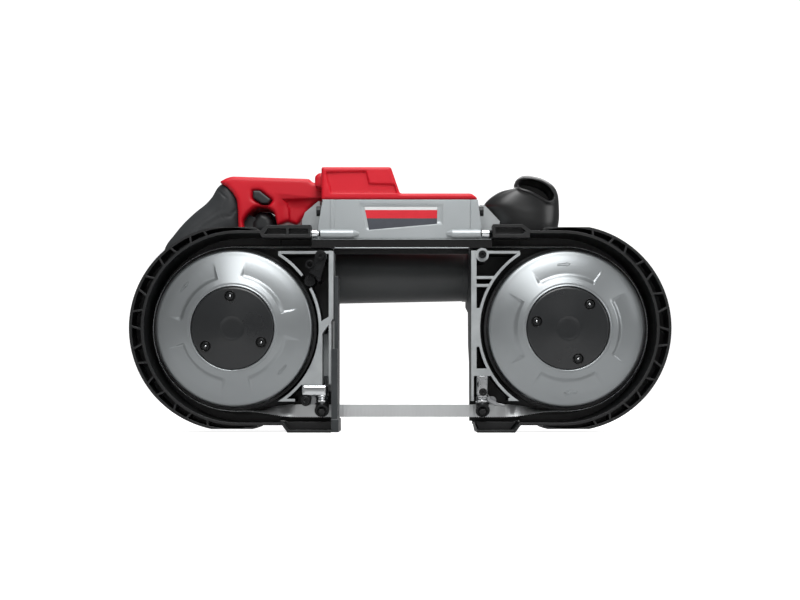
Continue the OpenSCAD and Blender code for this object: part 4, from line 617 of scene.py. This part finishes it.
def wheelDisc(side, x):
    # profile of the wheel's front and back carried round its axis; on the front, each lobe lowers the cone by
    # drop * (1 - (r - 50) / 16)^1.7 beyond radius 50, with soft steps along its arc and along both of its sides
    outer = np.array([[12.6, 12.4], [14, 12.4], [14, 7.45], [39.9, 7.45], [39.95, 4.8], [40.15, 4.15], [40.6, 3.95], [41.1, 4.1],
                      [41.6, 4.4], [43, 4.4]])
    cone = np.stack([np.linspace(43, 70, 68), 4.4 + (np.linspace(43, 70, 68) - 43) * 7.1 / 26], 1)[1:]
    edge = np.array([[72, 12.15], [73.5, 12.6], [74.6, 13.2], [75.3, 14.1], [75.6, 15.4], [75.7, 21.6],
                     [76.0, 24], [76.05, 38], [71.5, 38], [71, 22], [66, 16.5], [42, 10.9], [24, 12.9], [21, 39.4], [12.6, 39.4]])
    profile = np.vstack([outer, cone, edge])
    if side == "drive":
        profile[profile[:, 0] == 12.6, 0] = 8.1
    steps = 720
    points, faces = turned(profile, (x, saw["axleHeight"]), steps)
    grid = points.reshape(len(profile), steps, 3)
    r = profile[:, :1]
    a = np.degrees(np.arange(steps) * 2 * np.pi / steps)[None]
    inLobe = (a - wheels["lobeStarts"][side]) % 90
    reach = r * np.radians(np.minimum(inLobe, wheels["lobeSpan"] - inLobe))    # along the arc, into the lobe
    across = easing((r - wheels["lobeRadius"]) / 5.5 + 0.5)
    fade = np.clip((wheels["lobeEnd"] - r) / (wheels["lobeEnd"] - wheels["lobeRadius"]), 0, 1) ** 1.7
    front = np.zeros_like(r)
    front[len(outer) - 1:len(outer) + len(cone)] = 1
    grid[..., 1] += front * wheels["lobeDrop"] * across * easing(reach / (1.4 + 4.5 * fade) + 0.5) * fade
    body = {"drive": "drive_unit", "idler": "idler_unit"}[side]
    makePiece(side + "WheelDisc", grid.reshape(-1, 3), faces, finishes["wheelAlloy"], "wheel_alloy", body,
              stands=[side + "_wheel"], crease=30)
    # ribs behind the web, and outlined arrows that show the blade's way on the front
    ribs = []
    rib = np.array([[20.5, 12.6], [42, 10.4], [66.5, 16], [72.2, 22.5], [72.2, 34], [20.5, 34]])
    for angle in np.radians(np.arange(0, 360, 60)):
        out, across = np.array([np.cos(angle), np.sin(angle)]), np.array([-np.sin(angle), np.cos(angle)])
        ring = [np.stack([x + rib[:, 0] * out[0] + s * across[0], rib[:, 1],
                          saw["axleHeight"] + rib[:, 0] * out[1] + s * across[1]], 1) for s in (-1.5, 1.5)]
        ribs.append(capped(np.array(ring)))
    shaft = np.array([[-6, 0.75], [2, 0.75], [2, 1.9], [6.2, 0], [2, -1.9], [2, -0.75], [-6, -0.75]])
    shaft = spaced(rounded(shaft, 0.3, 2), 1.0)
    for angle in wheels["arrows"][side]:
        t = math.radians(angle)
        radial, along = np.array([np.cos(t), np.sin(t)]), np.array([np.sin(t), -np.cos(t)])
        flat = radial * wheels["arrowRadius"] + shaft[:, :1] * along + shaft[:, 1:] * radial
        reached = np.linalg.norm(flat, axis=1)
        path = np.stack([x + flat[:, 0], 4.4 + (reached - 43) * 7.1 / 26, saw["axleHeight"] + flat[:, 1]], 1)
        ribs.append(tube(path, 0.33, sides=6, closed=True))
    makePiece(side + "WheelRibs", *joined(ribs), finishes["wheelAlloy"], "wheel_alloy", body)


def wheelTyre(side, x):
    # a band of rubber with rounded shoulders
    profile = rounded([[76.1, 24.2], [79.25, 24.2], [79.25, 37.5], [76.1, 37.5]], [0.1, 1.2, 1.2, 0.1], 5)
    body = {"drive": "drive_unit", "idler": "idler_unit"}[side]
    makePiece(side + "WheelTyre", *turned(profile, (x, saw["axleHeight"])), finishes["tyreRubber"], "tyre_rubber", body,
              stands=[side + "_tyre"])


def hexScrew(x, z, front, headRadius, headHeight, tip=None, socket=0.5):
    # a cap screw that faces the front: rounded head, hexagonal socket, plain shank; the socket's ring turns from a
    # circle into a hexagon by r = flat / cos(angle within one side)
    steps = 48
    a = np.arange(steps) * 2 * np.pi / steps
    hexagon = headRadius * socket * np.cos(np.pi / 6) / np.cos((a + np.pi / 6) % (np.pi / 3) - np.pi / 6)
    rows = [(np.zeros(steps), headHeight * 0.62), (hexagon * 0.6, headHeight * 0.7), (hexagon, headHeight * 0.6),
            (hexagon, 0.0), (hexagon * 1.06, -0.05 + 0 * a), (headRadius * 0.86 + 0 * a, 0.0),
            (headRadius * 0.96 + 0 * a, headHeight * 0.08), (headRadius + 0 * a, headHeight * 0.25),
            (headRadius + 0 * a, headHeight), (1.9 + 0 * a, headHeight), (1.9 + 0 * a, (tip or front + headHeight + 3) - front),
            (np.zeros(steps), (tip or front + headHeight + 3) - front)]
    grid = np.stack([np.stack([x + r * np.cos(a), front + t + 0 * a, z + r * np.sin(a)], -1) for r, t in rows])
    return grid.reshape(-1, 3), gridFaces(len(rows), steps, wrapColumns=True)


def hubCap(side, x):
    # a shallow cone with a flat disc in its middle and three round pits for its screws; a pit lowers the front by
    # 2.9 mm within 4.8 mm of a screw
    r = np.concatenate([[0.0, 4, 8.0, 9.4, 10.4, 11.2, 11.7], np.linspace(12, 37.4, 64), [38.2, 38.9, 39.3, 39.45, 39.45, 15, 15, 0.0]])
    t = np.concatenate([[1.7, 1.7, 1.68, 1.6, 1.42, 1.26, 1.21], 1.2 + (np.linspace(12, 37.4, 64) - 12) * 3.0 / 25.5,
                        [4.32, 4.6, 5.0, 5.5, 7.4, 7.4, 4.4, 4.4]])
    steps = 432
    points, faces = turned(np.stack([r, t], 1), (x, saw["axleHeight"]), steps, closed=False)
    grid = points.reshape(len(r), steps, 3)
    angles = np.radians(wheels["capScrews"][side])
    screws = np.stack([x + wheels["screwCircle"] * np.cos(angles), saw["axleHeight"] + wheels["screwCircle"] * np.sin(angles)], 1)
    front = grid[:len(r) - 4]
    away = np.linalg.norm(front[..., None, [0, 2]] - screws, axis=-1).min(-1)
    pit = easing((5.0 - away) / 0.5)
    front[..., 1] = front[..., 1] * (1 - pit) + np.maximum(front[..., 1], 5.6) * pit
    grid[:len(r) - 4] = front
    body = {"drive": "drive_unit", "idler": "idler_unit"}[side]
    makePiece(side + "HubCap", grid.reshape(-1, 3), faces, finishes["hubPlastic"], "dark_caps", body,
              stands=[side + "_hub_cap"], crease=30)
    rings = [turned(np.array([[4.7, 5.4], [4.7, 3.2], [4.9, 2.5], [5.2, 2.5], [5.3, 3.2], [5.3, 5.4]]), s, 48) for s in screws]
    makePiece(side + "CapScrewRings", *joined(rings), finishes["glossyBlack"], "dark_caps", body)
    pins = [turned([[0.0, 3.35], [0.5, 3.4], [0.95, 3.6], [1.15, 4.0], [1.15, 4.9], [0.0, 4.9]], s, 24, closed=False) for s in screws]
    makePiece(side + "SocketPins", *joined(pins), finishes["brightChrome"], "machined_steel", body)
    heads = [hexScrew(sx, sz, 2.9, 3.7, 2.6, 11.0, 0.52) for sx, sz in screws]
    makePiece(side + "CapScrews", *joined(heads), finishes["darkScrews"], "dark_screws", body,
              stands=[side + "_cap_screws"], crease=30)


for side in ("drive", "idler"):
    wheelDisc(side, saw[side + "X"])
    wheelTyre(side, saw[side + "X"])
    hubCap(side, saw[side + "X"])
print("wheels done")


# Blade

blade = {"width": 12.7, "thickness": 0.5, "middle": 29.35, "toothPitch": 1.8, "toothDepth": 0.9, "twistStart": 150.0, "twistEnd": 90.0}


def sawBlade():
    # stations along the loop carry a band's four corners; the band leans by 90 * easing(t) degrees from x = 150
    # to x = 90, and every other station's front edge steps back by a tooth's depth
    half, straight = np.pi * saw["bladeRadius"], 320.0
    loop = 2 * half + 2 * straight
    count = 2 * int(round(loop / blade["toothPitch"]))
    s = np.arange(count) * loop / count
    a = np.pi / 2 + np.clip(s / saw["bladeRadius"], 0, np.pi)
    b = -np.pi / 2 + np.clip((s - half - straight) / saw["bladeRadius"], 0, np.pi)
    low = np.clip(s - half, 0, straight)
    top = np.clip(s - 2 * half - straight, 0, straight)
    left, right = s < half, (s >= half + straight) & (s < 2 * half + straight)
    x = np.where(left, -160 + saw["bladeRadius"] * np.cos(a), np.where(right, 160 + saw["bladeRadius"] * np.cos(b),
                 np.where(s < half + straight, -160 + low, 160 - top)))
    z = saw["axleHeight"] + np.where(left, saw["bladeRadius"] * np.sin(a), np.where(right, saw["bladeRadius"] * np.sin(b),
                                     np.where(s < half + straight, -saw["bladeRadius"], saw["bladeRadius"])))
    onCut = (s >= half) & (s < half + straight)
    lean = np.where(onCut, np.radians(90 * easing((blade["twistStart"] - np.abs(x)) / (blade["twistStart"] - blade["twistEnd"]))), 0)
    angle = np.where(left, a, np.where(right, b, np.where(onCut, -np.pi / 2, np.pi / 2)))
    flat = np.stack([np.cos(angle), 0 * angle, np.sin(angle)], 1)
    wide = np.stack([0 * lean, np.cos(lean), np.sin(lean)], 1)
    thick = np.where(onCut[:, None], np.stack([0 * lean, np.sin(lean), -np.cos(lean)], 1), flat)
    middle = np.stack([x, blade["middle"] + 0 * x, z], 1)
    tooth = np.where(np.arange(count) % 2 == 0, 0.0, blade["toothDepth"])[:, None]
    set_ = 0.12 * np.where(np.arange(count) % 4 == 0, 1, -1)[:, None] * (tooth == 0)
    w, h = blade["width"] / 2, blade["thickness"] / 2
    corners = np.stack([middle - wide * (w - tooth) - thick * (h - set_), middle + wide * w - thick * h,
                        middle + wide * w + thick * h, middle - wide * (w - tooth) + thick * (h + set_)], 1)
    makePiece("toothedBlade", corners.reshape(-1, 3), gridFaces(count, 4, wrapRows=True, wrapColumns=True),
              finishes["bladeSteel"], "machined_steel", stands=["blade"], crease=25)


sawBlade()
print("blade done")


# Handles

handle = {
    "front": 52.0,
    "split": 74.9,
    "rear": 98.0,
    "beam": [[-160.7, 190], [-155.9, 190], [-155.7, 198.5], [-157, 208.9], [-153, 215.2], [-147.6, 220.4],
             [-143.1, 222.7], [-133.4, 222.7], [-126.2, 217.3], [-123.8, 208.9], [-123.4, 204.6], [-118.5, 205.6],
             [-112.9, 208.4], [-103.5, 205.2], [-99.5, 210.4], [-92.5, 219.6], [-84.5, 227.6], [-74.5, 230.5],
             [-74.5, 247], [-87.5, 247.5], [-91, 251.2], [-125, 252.2], [-168, 253.6], [-174, 251.8], [-181, 247.9],
             [-173.5, 243.6], [-166.5, 236], [-163.2, 229], [-162.3, 219.5], [-162.2, 209.3]],
    "setBack": [[-118.5, 230.5], [-113.6, 225.6], [-111.6, 219], [-111.6, 203], [-98, 203], [-72, 225], [-72, 231.5]],
    "crease": [[-136, 239.6], [-118, 235.5], [-72, 230.6]],
    "lock": [[-147, 238.6], [-146.6, 231.4], [-137.6, 225.4], [-131.4, 225.4], [-128.2, 229.4], [-140, 238.6]],
    "box": [[-76, 223.8], [74, 223.8], [74, 226], [68.5, 230], [-0.2, 230], [-9, 255.4], [-76, 255.4]],
    "boxField": [[-71.5, 247.6], [-66.4, 230.4], [-3.2, 230.4], [-5.6, 238.5], [-30, 239.5], [-33, 251], [-70.5, 250.4]],
    "trigger": [[-150, 197.5], [-130, 196.5], [-126.6, 203], [-127.5, 210], [-131, 216.5], [-137.5, 219.6],
                [-142.6, 219.4], [-146.8, 214.4], [-150, 209.4]],
    "wall": 3.0,
}


def beamFront(p, d):
    # rounded edge, a slope below the crease and a soft-walled field set back by 3 mm behind the trigger's guard
    below = np.interp(p[:, 0], *np.array(handle["crease"]).T) - p[:, 1]
    slope = 0.36 * np.clip(below, 0, 11) * easing((p[:, 0] + 127) / 14)
    field = 3.0 * easing(insideDepth(p, handle["setBack"]) / 1.8 + 0.2)
    return handle["front"] + roundEdge(d, 4.5) + slope + field


def boxFront(p, d):
    # rounded edge and the stepped field, 2.5 mm deep behind a slope 1.4 mm wide
    return 14 + roundEdge(d, 3.0) + 2.5 * easing(insideDepth(p, handle["boxField"]) / 1.4 + 0.4)


def redShells():
    # each half is a shell: walls reach the joint between the halves near its edges, and elsewhere it is 3 mm thick
    wall, split, rear = handle["wall"], handle["split"], handle["rear"]
    rings = (0.25, 0.7, 1.4, 2.3, 2.9, 3.3, 4.6)
    red, slot = finishes["redPlastic"], "red_plastic"
    button = rounded(np.array(handle["lock"]), 1.0, 3)
    middle = button.mean(0)
    button = middle + (button - middle) * 1.04
    beam = rounded(handle["beam"], 2.2, 4)
    lug = relief("boxLug", rounded([[-83.8, 239.5], [-83.8, 250], [-80, 253.2], [-74, 253.2], [-74, 238.4], [-80, 238.4]], 2, 4),
                 lambda p, d: 33 + roundEdge(d, 3), lambda p, d: 60 + 0 * d, red, slot)
    lug.name = "boxLug"
    relief("beamShellFront", beam, beamFront,
           lambda p, d: np.where(d < wall, split - roundEdge(d, 0.5), beamFront(p, d) + wall), red, slot,
           holes=(button,), insets=rings, spacing=2.0, lines=(handle["setBack"], handle["crease"]),
           stands=["handle_shell_front"])
    relief("boxShellFront", rounded(handle["box"], 2.0, 4), boxFront,
           lambda p, d: np.where(d < wall, split - roundEdge(d, 0.5), boxFront(p, d) + wall), red, slot,
           insets=rings, lines=(handle["boxField"],))
    relief("beamShellRear", beam, lambda p, d: np.where(d < wall, split + 0.15 + roundEdge(d, 0.5), rear - wall),
           lambda p, d: rear - roundEdge(d, 4.5), red, slot, holes=(button,), insets=rings, stands=["handle_shell_rear"])
    vents = [[[x, 196], [x + 2.4, 196], [x + 2.4, 212], [x, 212]] for x in np.arange(-70, -56, 4.6)]
    relief("boxShellRear", rounded([[-76, 187], [-9, 187], [-9, 255.4], [-76, 255.4]], 3.0, 4),
           lambda p, d: np.where(d < wall, split + 0.15 + roundEdge(d, 0.5), 117.0), lambda p, d: 120 - roundEdge(d, 4),
           red, slot, holes=[rounded([[-52.3, 200.7], [-32.7, 200.7], [-32.7, 236.3], [-52.3, 236.3]], 1, 3)], insets=rings)
    relief("deckRear", rounded([[-9, 223.8], [74, 223.8], [74, 226], [68.5, 230], [-9, 230]], 0.8, 3),
           lambda p, d: split + 0.15 + roundEdge(d, 0.5), lambda p, d: 106 - roundEdge(d, 2), red, slot,
           insets=(0.25, 0.8, 1.6))
    inner = middle + (button - middle) * 0.92
    relief("lockSlide", inner, lambda p, d: 49.4 + roundEdge(d, 1.3), lambda p, d: 97.7 + 0 * d - roundEdge(d, 1.3),
           finishes["darkPlastic"], "black_plastic", spacing=1.4, body="lock_body", stands=["lock_button"])
    tail = [[-166, 199], [-146, 199], [-146, 220 - 6], [-166, 220]]
    relief("triggerPaddle", rounded(handle["trigger"], 1.5, 4), lambda p, d: 62 + roundEdge(d, 7),
           lambda p, d: 88 - roundEdge(d, 7), finishes["darkPlastic"], "black_plastic", spacing=1.3,
           insets=(0.15, 0.5, 1.1, 2, 3.2, 4.6, 6), body="trigger_body", stands=["trigger"],
           extra=[slabOf(tail, 64, 86)])
    liner = [[-155.3, 199], [-156.6, 208.9], [-153, 214.9], [-147.4, 220.1], [-143, 222.3], [-133.5, 222.3], [-126.6, 217.1],
             [-124.2, 208.8], [-124, 203.4], [-137, 203.4], [-142, 199]]
    relief("triggerLiner", rounded(liner, 1.2, 3), lambda p, d: 89.2 + roundEdge(d, 0.8), lambda p, d: 94 - roundEdge(d, 0.8),
           finishes["blackPlastic"], "black_plastic", spacing=2.5)


def slabOf(outline, front, back):
    # a plain prism over an outline in x and z
    o = np.asarray(outline, float)
    ring = [np.stack([o[:, 0], np.full(len(o), y), o[:, 1]], 1) for y in (front, back)]
    return capped(np.array(ring))


def lofted(keys, rows, columns, power):
    # sections between two points (xa, za) and (xb, zb) with a half width, smoothed along the handle; around each one
    # the superellipse u = sign(cos) |cos|^power, v = sign(sin) |sin|^power
    k = alongKeys(keys, rows)
    a = np.arange(columns) * 2 * np.pi / columns
    u = np.sign(np.cos(a)) * np.abs(np.cos(a)) ** power
    v = np.sign(np.sin(a)) * np.abs(np.sin(a)) ** power
    middle, reach = (k[:, :2] + k[:, 2:4]) / 2, (k[:, 2:4] - k[:, :2]) / 2
    flat = middle[:, None] + reach[:, None] * u[None, :, None]
    return np.stack([flat[..., 0], saw["handleDepth"] + k[:, 4:5] * v[None], flat[..., 1]], -1)


def rubberGrip():
    # soft grip: grooves up to 0.6 deep and about 1 wide along two crease lines
    keys = [[-240.5, 156.1, -207, 156.1, 16.7], [-241.4, 171, -204.5, 165, 17.7], [-237.5, 185.5, -199.5, 174, 18.2],
            [-229, 197, -191, 182, 19], [-219.5, 208.5, -180, 187.5, 19], [-208, 219.5, -168.5, 191.5, 19],
            [-197.5, 228, -159.4, 196, 19], [-191, 235, -158.6, 206, 19], [-187.6, 240.6, -158.4, 217, 19],
            [-185, 244.6, -160, 227, 18.6], [-181.6, 247.4, -165, 237, 17.5], [-178, 248.6, -171, 244.4, 14]]
    grid = lofted(keys, 150, 96, 0.8)
    flat = grid[..., [0, 2]].reshape(-1, 2)
    creases = [[[-184, 241], [-174, 232], [-178, 222], [-196, 210], [-212, 196], [-224, 178]],
               [[-165, 220], [-170, 214], [-182, 212], [-198, 203], [-210, 186], [-214, 166]]]
    off = np.minimum(lineDistance(flat, creases[0]), lineDistance(flat, creases[1])).reshape(grid.shape[:2])
    side = np.sign(grid[..., 1] - saw["handleDepth"])
    grid[..., 1] -= side * 0.6 * np.exp(-(off / 1.1) ** 2) * easing(np.abs(grid[..., 1] - saw["handleDepth"]) / 8)
    makePiece("rubberGrip", *capped(grid), finishes["rubber"], "black_rubber", stands=["main_grip"], crease=50)


def hornHandle():
    # horn with a mouth in front: inside the mouth's outline the front wall falls back, and its lip bulges forward by
    # 1.8 exp(-((distance - 1.6) / 1.7)^2) outside the outline
    keys = [[100, 178.1, 149, 178.1, 14], [98.5, 194, 157, 190, 16], [97, 208, 159.8, 204, 18],
            [90.5, 219.5, 161.3, 214, 18], [84.8, 226, 161.3, 224, 17.5], [89.5, 233.5, 160.8, 233, 17],
            [100.5, 240.8, 159.6, 239.6, 16.6], [113.5, 244.0, 156.6, 245.4, 16], [115.6, 249, 151.5, 250, 15],
            [117.4, 253, 144, 254, 12.5], [121, 256, 134, 256.6, 8]]
    grid = lofted(keys, 170, 132, 0.92)
    mouth = rounded([[118.4, 247.4], [120.6, 242.8], [130, 239.9], [141.1, 234.2], [149, 230], [153.6, 231.4], [155.1, 235.6],
                     [150.1, 243], [142, 248.4], [131, 251.6], [121.4, 251.6]], 3.0, 5)
    flat = grid[..., [0, 2]].reshape(-1, 2)
    inside = insideDepth(flat, mouth).reshape(grid.shape[:2])
    front = grid[..., 1] < saw["handleDepth"]
    lip = 1.8 * np.exp(-((inside + 1.6) / 1.7) ** 2)
    deep = easing((inside + 0.2) / 2.4)
    grid[..., 1] = np.where(front, grid[..., 1] - lip * (1 - deep) + deep * (84 - np.minimum(grid[..., 1], 84)), grid[..., 1])
    makePiece("hornHandle", *capped(grid), finishes["hornPlastic"], "black_plastic", stands=["front_handle"], crease=50)


redShells()
rubberGrip()
hornHandle()
print("handles done")


# Guides, brush and small parts

def guideBlocks():
    # polished blocks rounded like bars, with collars round the posts of the stacks and dark brackets beside them
    chrome, dark = finishes["brightChrome"], finishes["darkScrews"]

    def upright(p, d):
        return 8.2 + roundEdge(np.minimum(p[:, 0] - 72.6, 84.6 - p[:, 0]), 4.0)

    def level(p, d):
        return 8.2 + roundEdge(d, 3.2)

    back = plainBack(41.9)
    relief("guideBarLeft", rounded([[-94.6, 34.4], [-69.8, 34.4], [-69.8, 45.6], [-94.6, 45.6]], 2.6, 4), level, back,
           chrome, "machined_steel", spacing=1.4, stands=["guide_block_left"])
    relief("guideBarRight", rounded([[72.6, 36], [84.6, 36], [84.6, 53.8], [72.6, 53.8]], 0.8, 3), upright, back,
           chrome, "machined_steel", spacing=1.4, insets=(0.3, 0.9, 1.8, 3), stands=["guide_block_right"])
    relief("guideBracketLeft", rounded([[-94.4, 36], [-96, 33], [-95, 26.6], [-91, 24.6], [-86.6, 26.4], [-86, 36]], 1.6, 4),
           lambda p, d: 10.5 + roundEdge(d, 1.0), plainBack(25.5), dark, "machined_steel", spacing=1.4)
    relief("guideBracketRight", rounded([[84, 44], [84, 37], [88, 31.5], [94, 28], [101, 26.6], [101, 24.6], [92, 25.2],
                                         [85, 29], [82, 34], [82, 44]], 1.2, 4),
           lambda p, d: 13 + roundEdge(d, 0.7), plainBack(24), finishes["machinedSteel"], "machined_steel", spacing=1.2,
           insets=(0.2, 0.6, 1.0))
    collars = []
    for x in (-75, 78.8):
        for low, high, r in ((28.6, 31.2, 6.2), (31.5, 33.2, 5.4), (33.4, 35.6, 6.2)):
            z = np.array([low, low + 0.01, low + 0.4, high - 0.4, high - 0.01, high])
            path = np.stack([np.full(6, float(x)), np.full(6, 14.5), z], 1)
            collars.append(tube(path, np.array([r - 0.5, r - 0.4, r, r, r - 0.4, r - 0.5]), 40, up=(0, 1, 0)))
    makePiece("guideCollars", *joined(collars), chrome, "bright_chrome", crease=30)
    screws = [hexScrew(-91, 30.6, 7.2, 3.9, 3.2, 20, 0.5), hexScrew(79.1, 38.6, 5.0, 3.8, 3.0, 20, 0.5)]
    makePiece("guideScrews", *joined(screws), dark, "dark_screws", crease=30)
    sockets = []
    for x in (-75, 78.8):
        t = np.linspace(0, 1, 3)[:, None]
        path = np.array([[x, 6.2, 19.4]]) + t * np.array([[0, 2.4, 1.3]])
        sockets.append(tube(path, 3.5, 6))
    makePiece("stackSockets", *joined(sockets), finishes["blackPlastic"], "dark_screws", crease=30)


def plainBack(depth):
    # a flat back at a depth
    return lambda p, d: np.full(len(d), float(depth))


def brushAndTrim():
    # round brush whose bristles stand in a hexagonal pattern, a ring on the brush's bracket, dark walls behind the
    # guards' openings, a dark lip under the blade cover, bright beads on the blade cover and the bevelled frame of the
    # rating plate's place
    x0, z0 = -87.0, 145.4
    bristles = []
    for i in range(-3, 4):
        for j in range(-3, 4):
            x, z = x0 + 1.7 * (i + j / 2), z0 + 1.7 * j * 0.866
            if math.hypot(x - x0, z - z0) < 5:
                bristles.append(tube([[x, 13.2, z], [x, 13.8, z], [x, 37.5, z]], [0.5, 0.78, 0.78], 8, up=(0, 0, 1)))
    bristles.append(tube([[x0, 15, z0], [x0, 37.8, z0]], 5.2, 40, up=(0, 0, 1)))
    makePiece("roundBrush", *joined(bristles), finishes["blackPlastic"], "black_rubber", stands=["wheel_brush"], crease=50)
    ring = turned([[2.4, 5.2], [2.4, 4.2], [2.9, 3.4], [3.8, 3.4], [4.3, 4.2], [4.3, 6.6], [2.4, 6.6]], (-86.2, 160.2), 48)
    makePiece("bracketRing", *ring, finishes["darkScrews"], "dark_screws")
    walls = [slabOf([[-108, 2.4], [-66.3, 2.4], [-66.3, 9.8], [-111, 9.8]], 20, 44),
             slabOf([[73, 9.8], [76, 2.4], [106, 2.4], [112, 9.8]], 20, 44)]
    makePiece("sillWalls", *joined(walls), finishes["blackPlastic"], "black_plastic")
    lines = [slabOf([[-84.6, 179.3], [-65.4, 179.3], [-65.4, 174.6], [67.8, 174.6], [67.8, 179.3], [87.6, 179.3], [87.6, 184],
                     [-84.6, 184]], 43, 45.8)]
    makePiece("coverLip", *joined(lines), finishes["blackPlastic"], "black_plastic")
    bead = tube([[-63, 12.2, 177.0], [66, 12.2, 177.0]], 0.5, 10)
    bead2 = tube([[-84.5, 12.0, 185.3], [87.5, 12.0, 185.3]], 0.45, 10)
    makePiece("coverBeads", *joined([bead, bead2]), finishes["paintedSilver"], "plate_silver")
    recess, place = [[-39.5, 219.3], [-33.5, 193.2], [40.7, 199.8], [40.7, 218.9]], [[-34.5, 216.8], [-29.9, 194.2], [35.3, 200], [35.6, 216.8]]
    relief("plateBevel", recess, lambda p, d: 12.2 + 0.75 * easing(insideDepth(p, recess) / 4.5), plainBack(13.55),
           finishes["paintedSilver"], "plate_silver", holes=[place], spacing=1.6, insets=(0.25, 0.7))


guideBlocks()
brushAndTrim()
print("trim done")


# Camera, floor and light

def studio():
    # the photograph's view: level, from the blade side, the picture's centre a little above the optical axis
    camera = bpy.data.objects.new("camera", bpy.data.cameras.new("camera"))
    bpy.context.scene.collection.objects.link(camera)
    camera.location = (0.0017, -1.116, 0.0501)
    camera.rotation_euler = (math.pi / 2, 0, 0)
    camera.data.lens = 49.8
    camera.data.sensor_width = 36
    camera.data.shift_x = -0.0025
    camera.data.shift_y = 0.1
    camera.data.clip_start = 0.01
    bpy.context.scene.camera = camera

    lamps = {
        "keyLamp": ((0.0, -1.05, 1.15), (0, 0, 0.12), 0.8, 15.0),
        "topLamp": ((0.1, -0.1, 1.5), (0, 0, 0.1), 1.1, 13.0),
        "sideLamp": ((1.5, -0.9, 0.7), (0, 0, 0.12), 0.7, 4.0),
        "backLamp": ((0.3, 1.5, 1.0), (0, 0, 0.12), 1.3, 9.0),
    }
    for title, (place, aim, size, power) in lamps.items():
        lamp = bpy.data.objects.new(title, bpy.data.lights.new(title, "AREA"))
        bpy.context.scene.collection.objects.link(lamp)
        lamp.location = place
        lamp.rotation_euler = (Vector(aim) - Vector(place)).to_track_quat("-Z", "Y").to_euler()
        lamp.data.size = size
        lamp.data.energy = power

    # floor that sweeps up into a backdrop: a profile of depth and height carried along x
    t = np.linspace(0, np.pi / 2, 13)
    depth = np.concatenate([[-6.0], 2.0 + 0.8 * np.sin(t), [2.8]])
    height = np.concatenate([[0.0], 0.8 - 0.8 * np.cos(t), [6.0]])
    grid = np.stack([np.stack([np.full_like(depth, x), depth, height], 1) for x in np.linspace(-6, 6, 2)])
    mesh = bpy.data.meshes.new("studioFloor")
    mesh.from_pydata(grid.reshape(-1, 3).tolist(), [], gridFaces(2, len(depth)))
    mesh.shade_smooth()
    floor = bpy.data.objects.new("studioFloor", mesh)
    bpy.context.scene.collection.objects.link(floor)
    material = bpy.data.materials.new("paleFloor")
    material.use_nodes = True
    tree = material.node_tree
    shader = tree.nodes["Principled BSDF"]
    shader.inputs["Base Color"].default_value = (0.62, 0.62, 0.62, 1)
    shader.inputs["Roughness"].default_value = 0.9
    shader.inputs["Emission Color"].default_value = (1, 1, 1, 1)
    rays = tree.nodes.new("ShaderNodeLightPath")
    seen = tree.nodes.new("ShaderNodeMath")
    seen.operation = "MULTIPLY"
    seen.inputs[1].default_value = 0.85
    tree.links.new(rays.outputs["Is Camera Ray"], seen.inputs[0])
    tree.links.new(seen.outputs[0], shader.inputs["Emission Strength"])
    mesh.materials.append(material)

    world = bpy.data.worlds.new("studioWorld")
    bpy.context.scene.world = world
    world.use_nodes = True
    sky = world.node_tree
    background = sky.nodes["Background"]
    background.inputs["Color"].default_value = (1, 1, 1, 1)
    rays = sky.nodes.new("ShaderNodeLightPath")
    level = sky.nodes.new("ShaderNodeMapRange")
    level.inputs["To Min"].default_value, level.inputs["To Max"].default_value = 0.3, 1.0
    sky.links.new(rays.outputs["Is Camera Ray"], level.inputs["Value"])
    sky.links.new(level.outputs["Result"], background.inputs["Strength"])


studio()
bpy.context.scene.view_settings.view_transform = "Standard"
print("studio done")
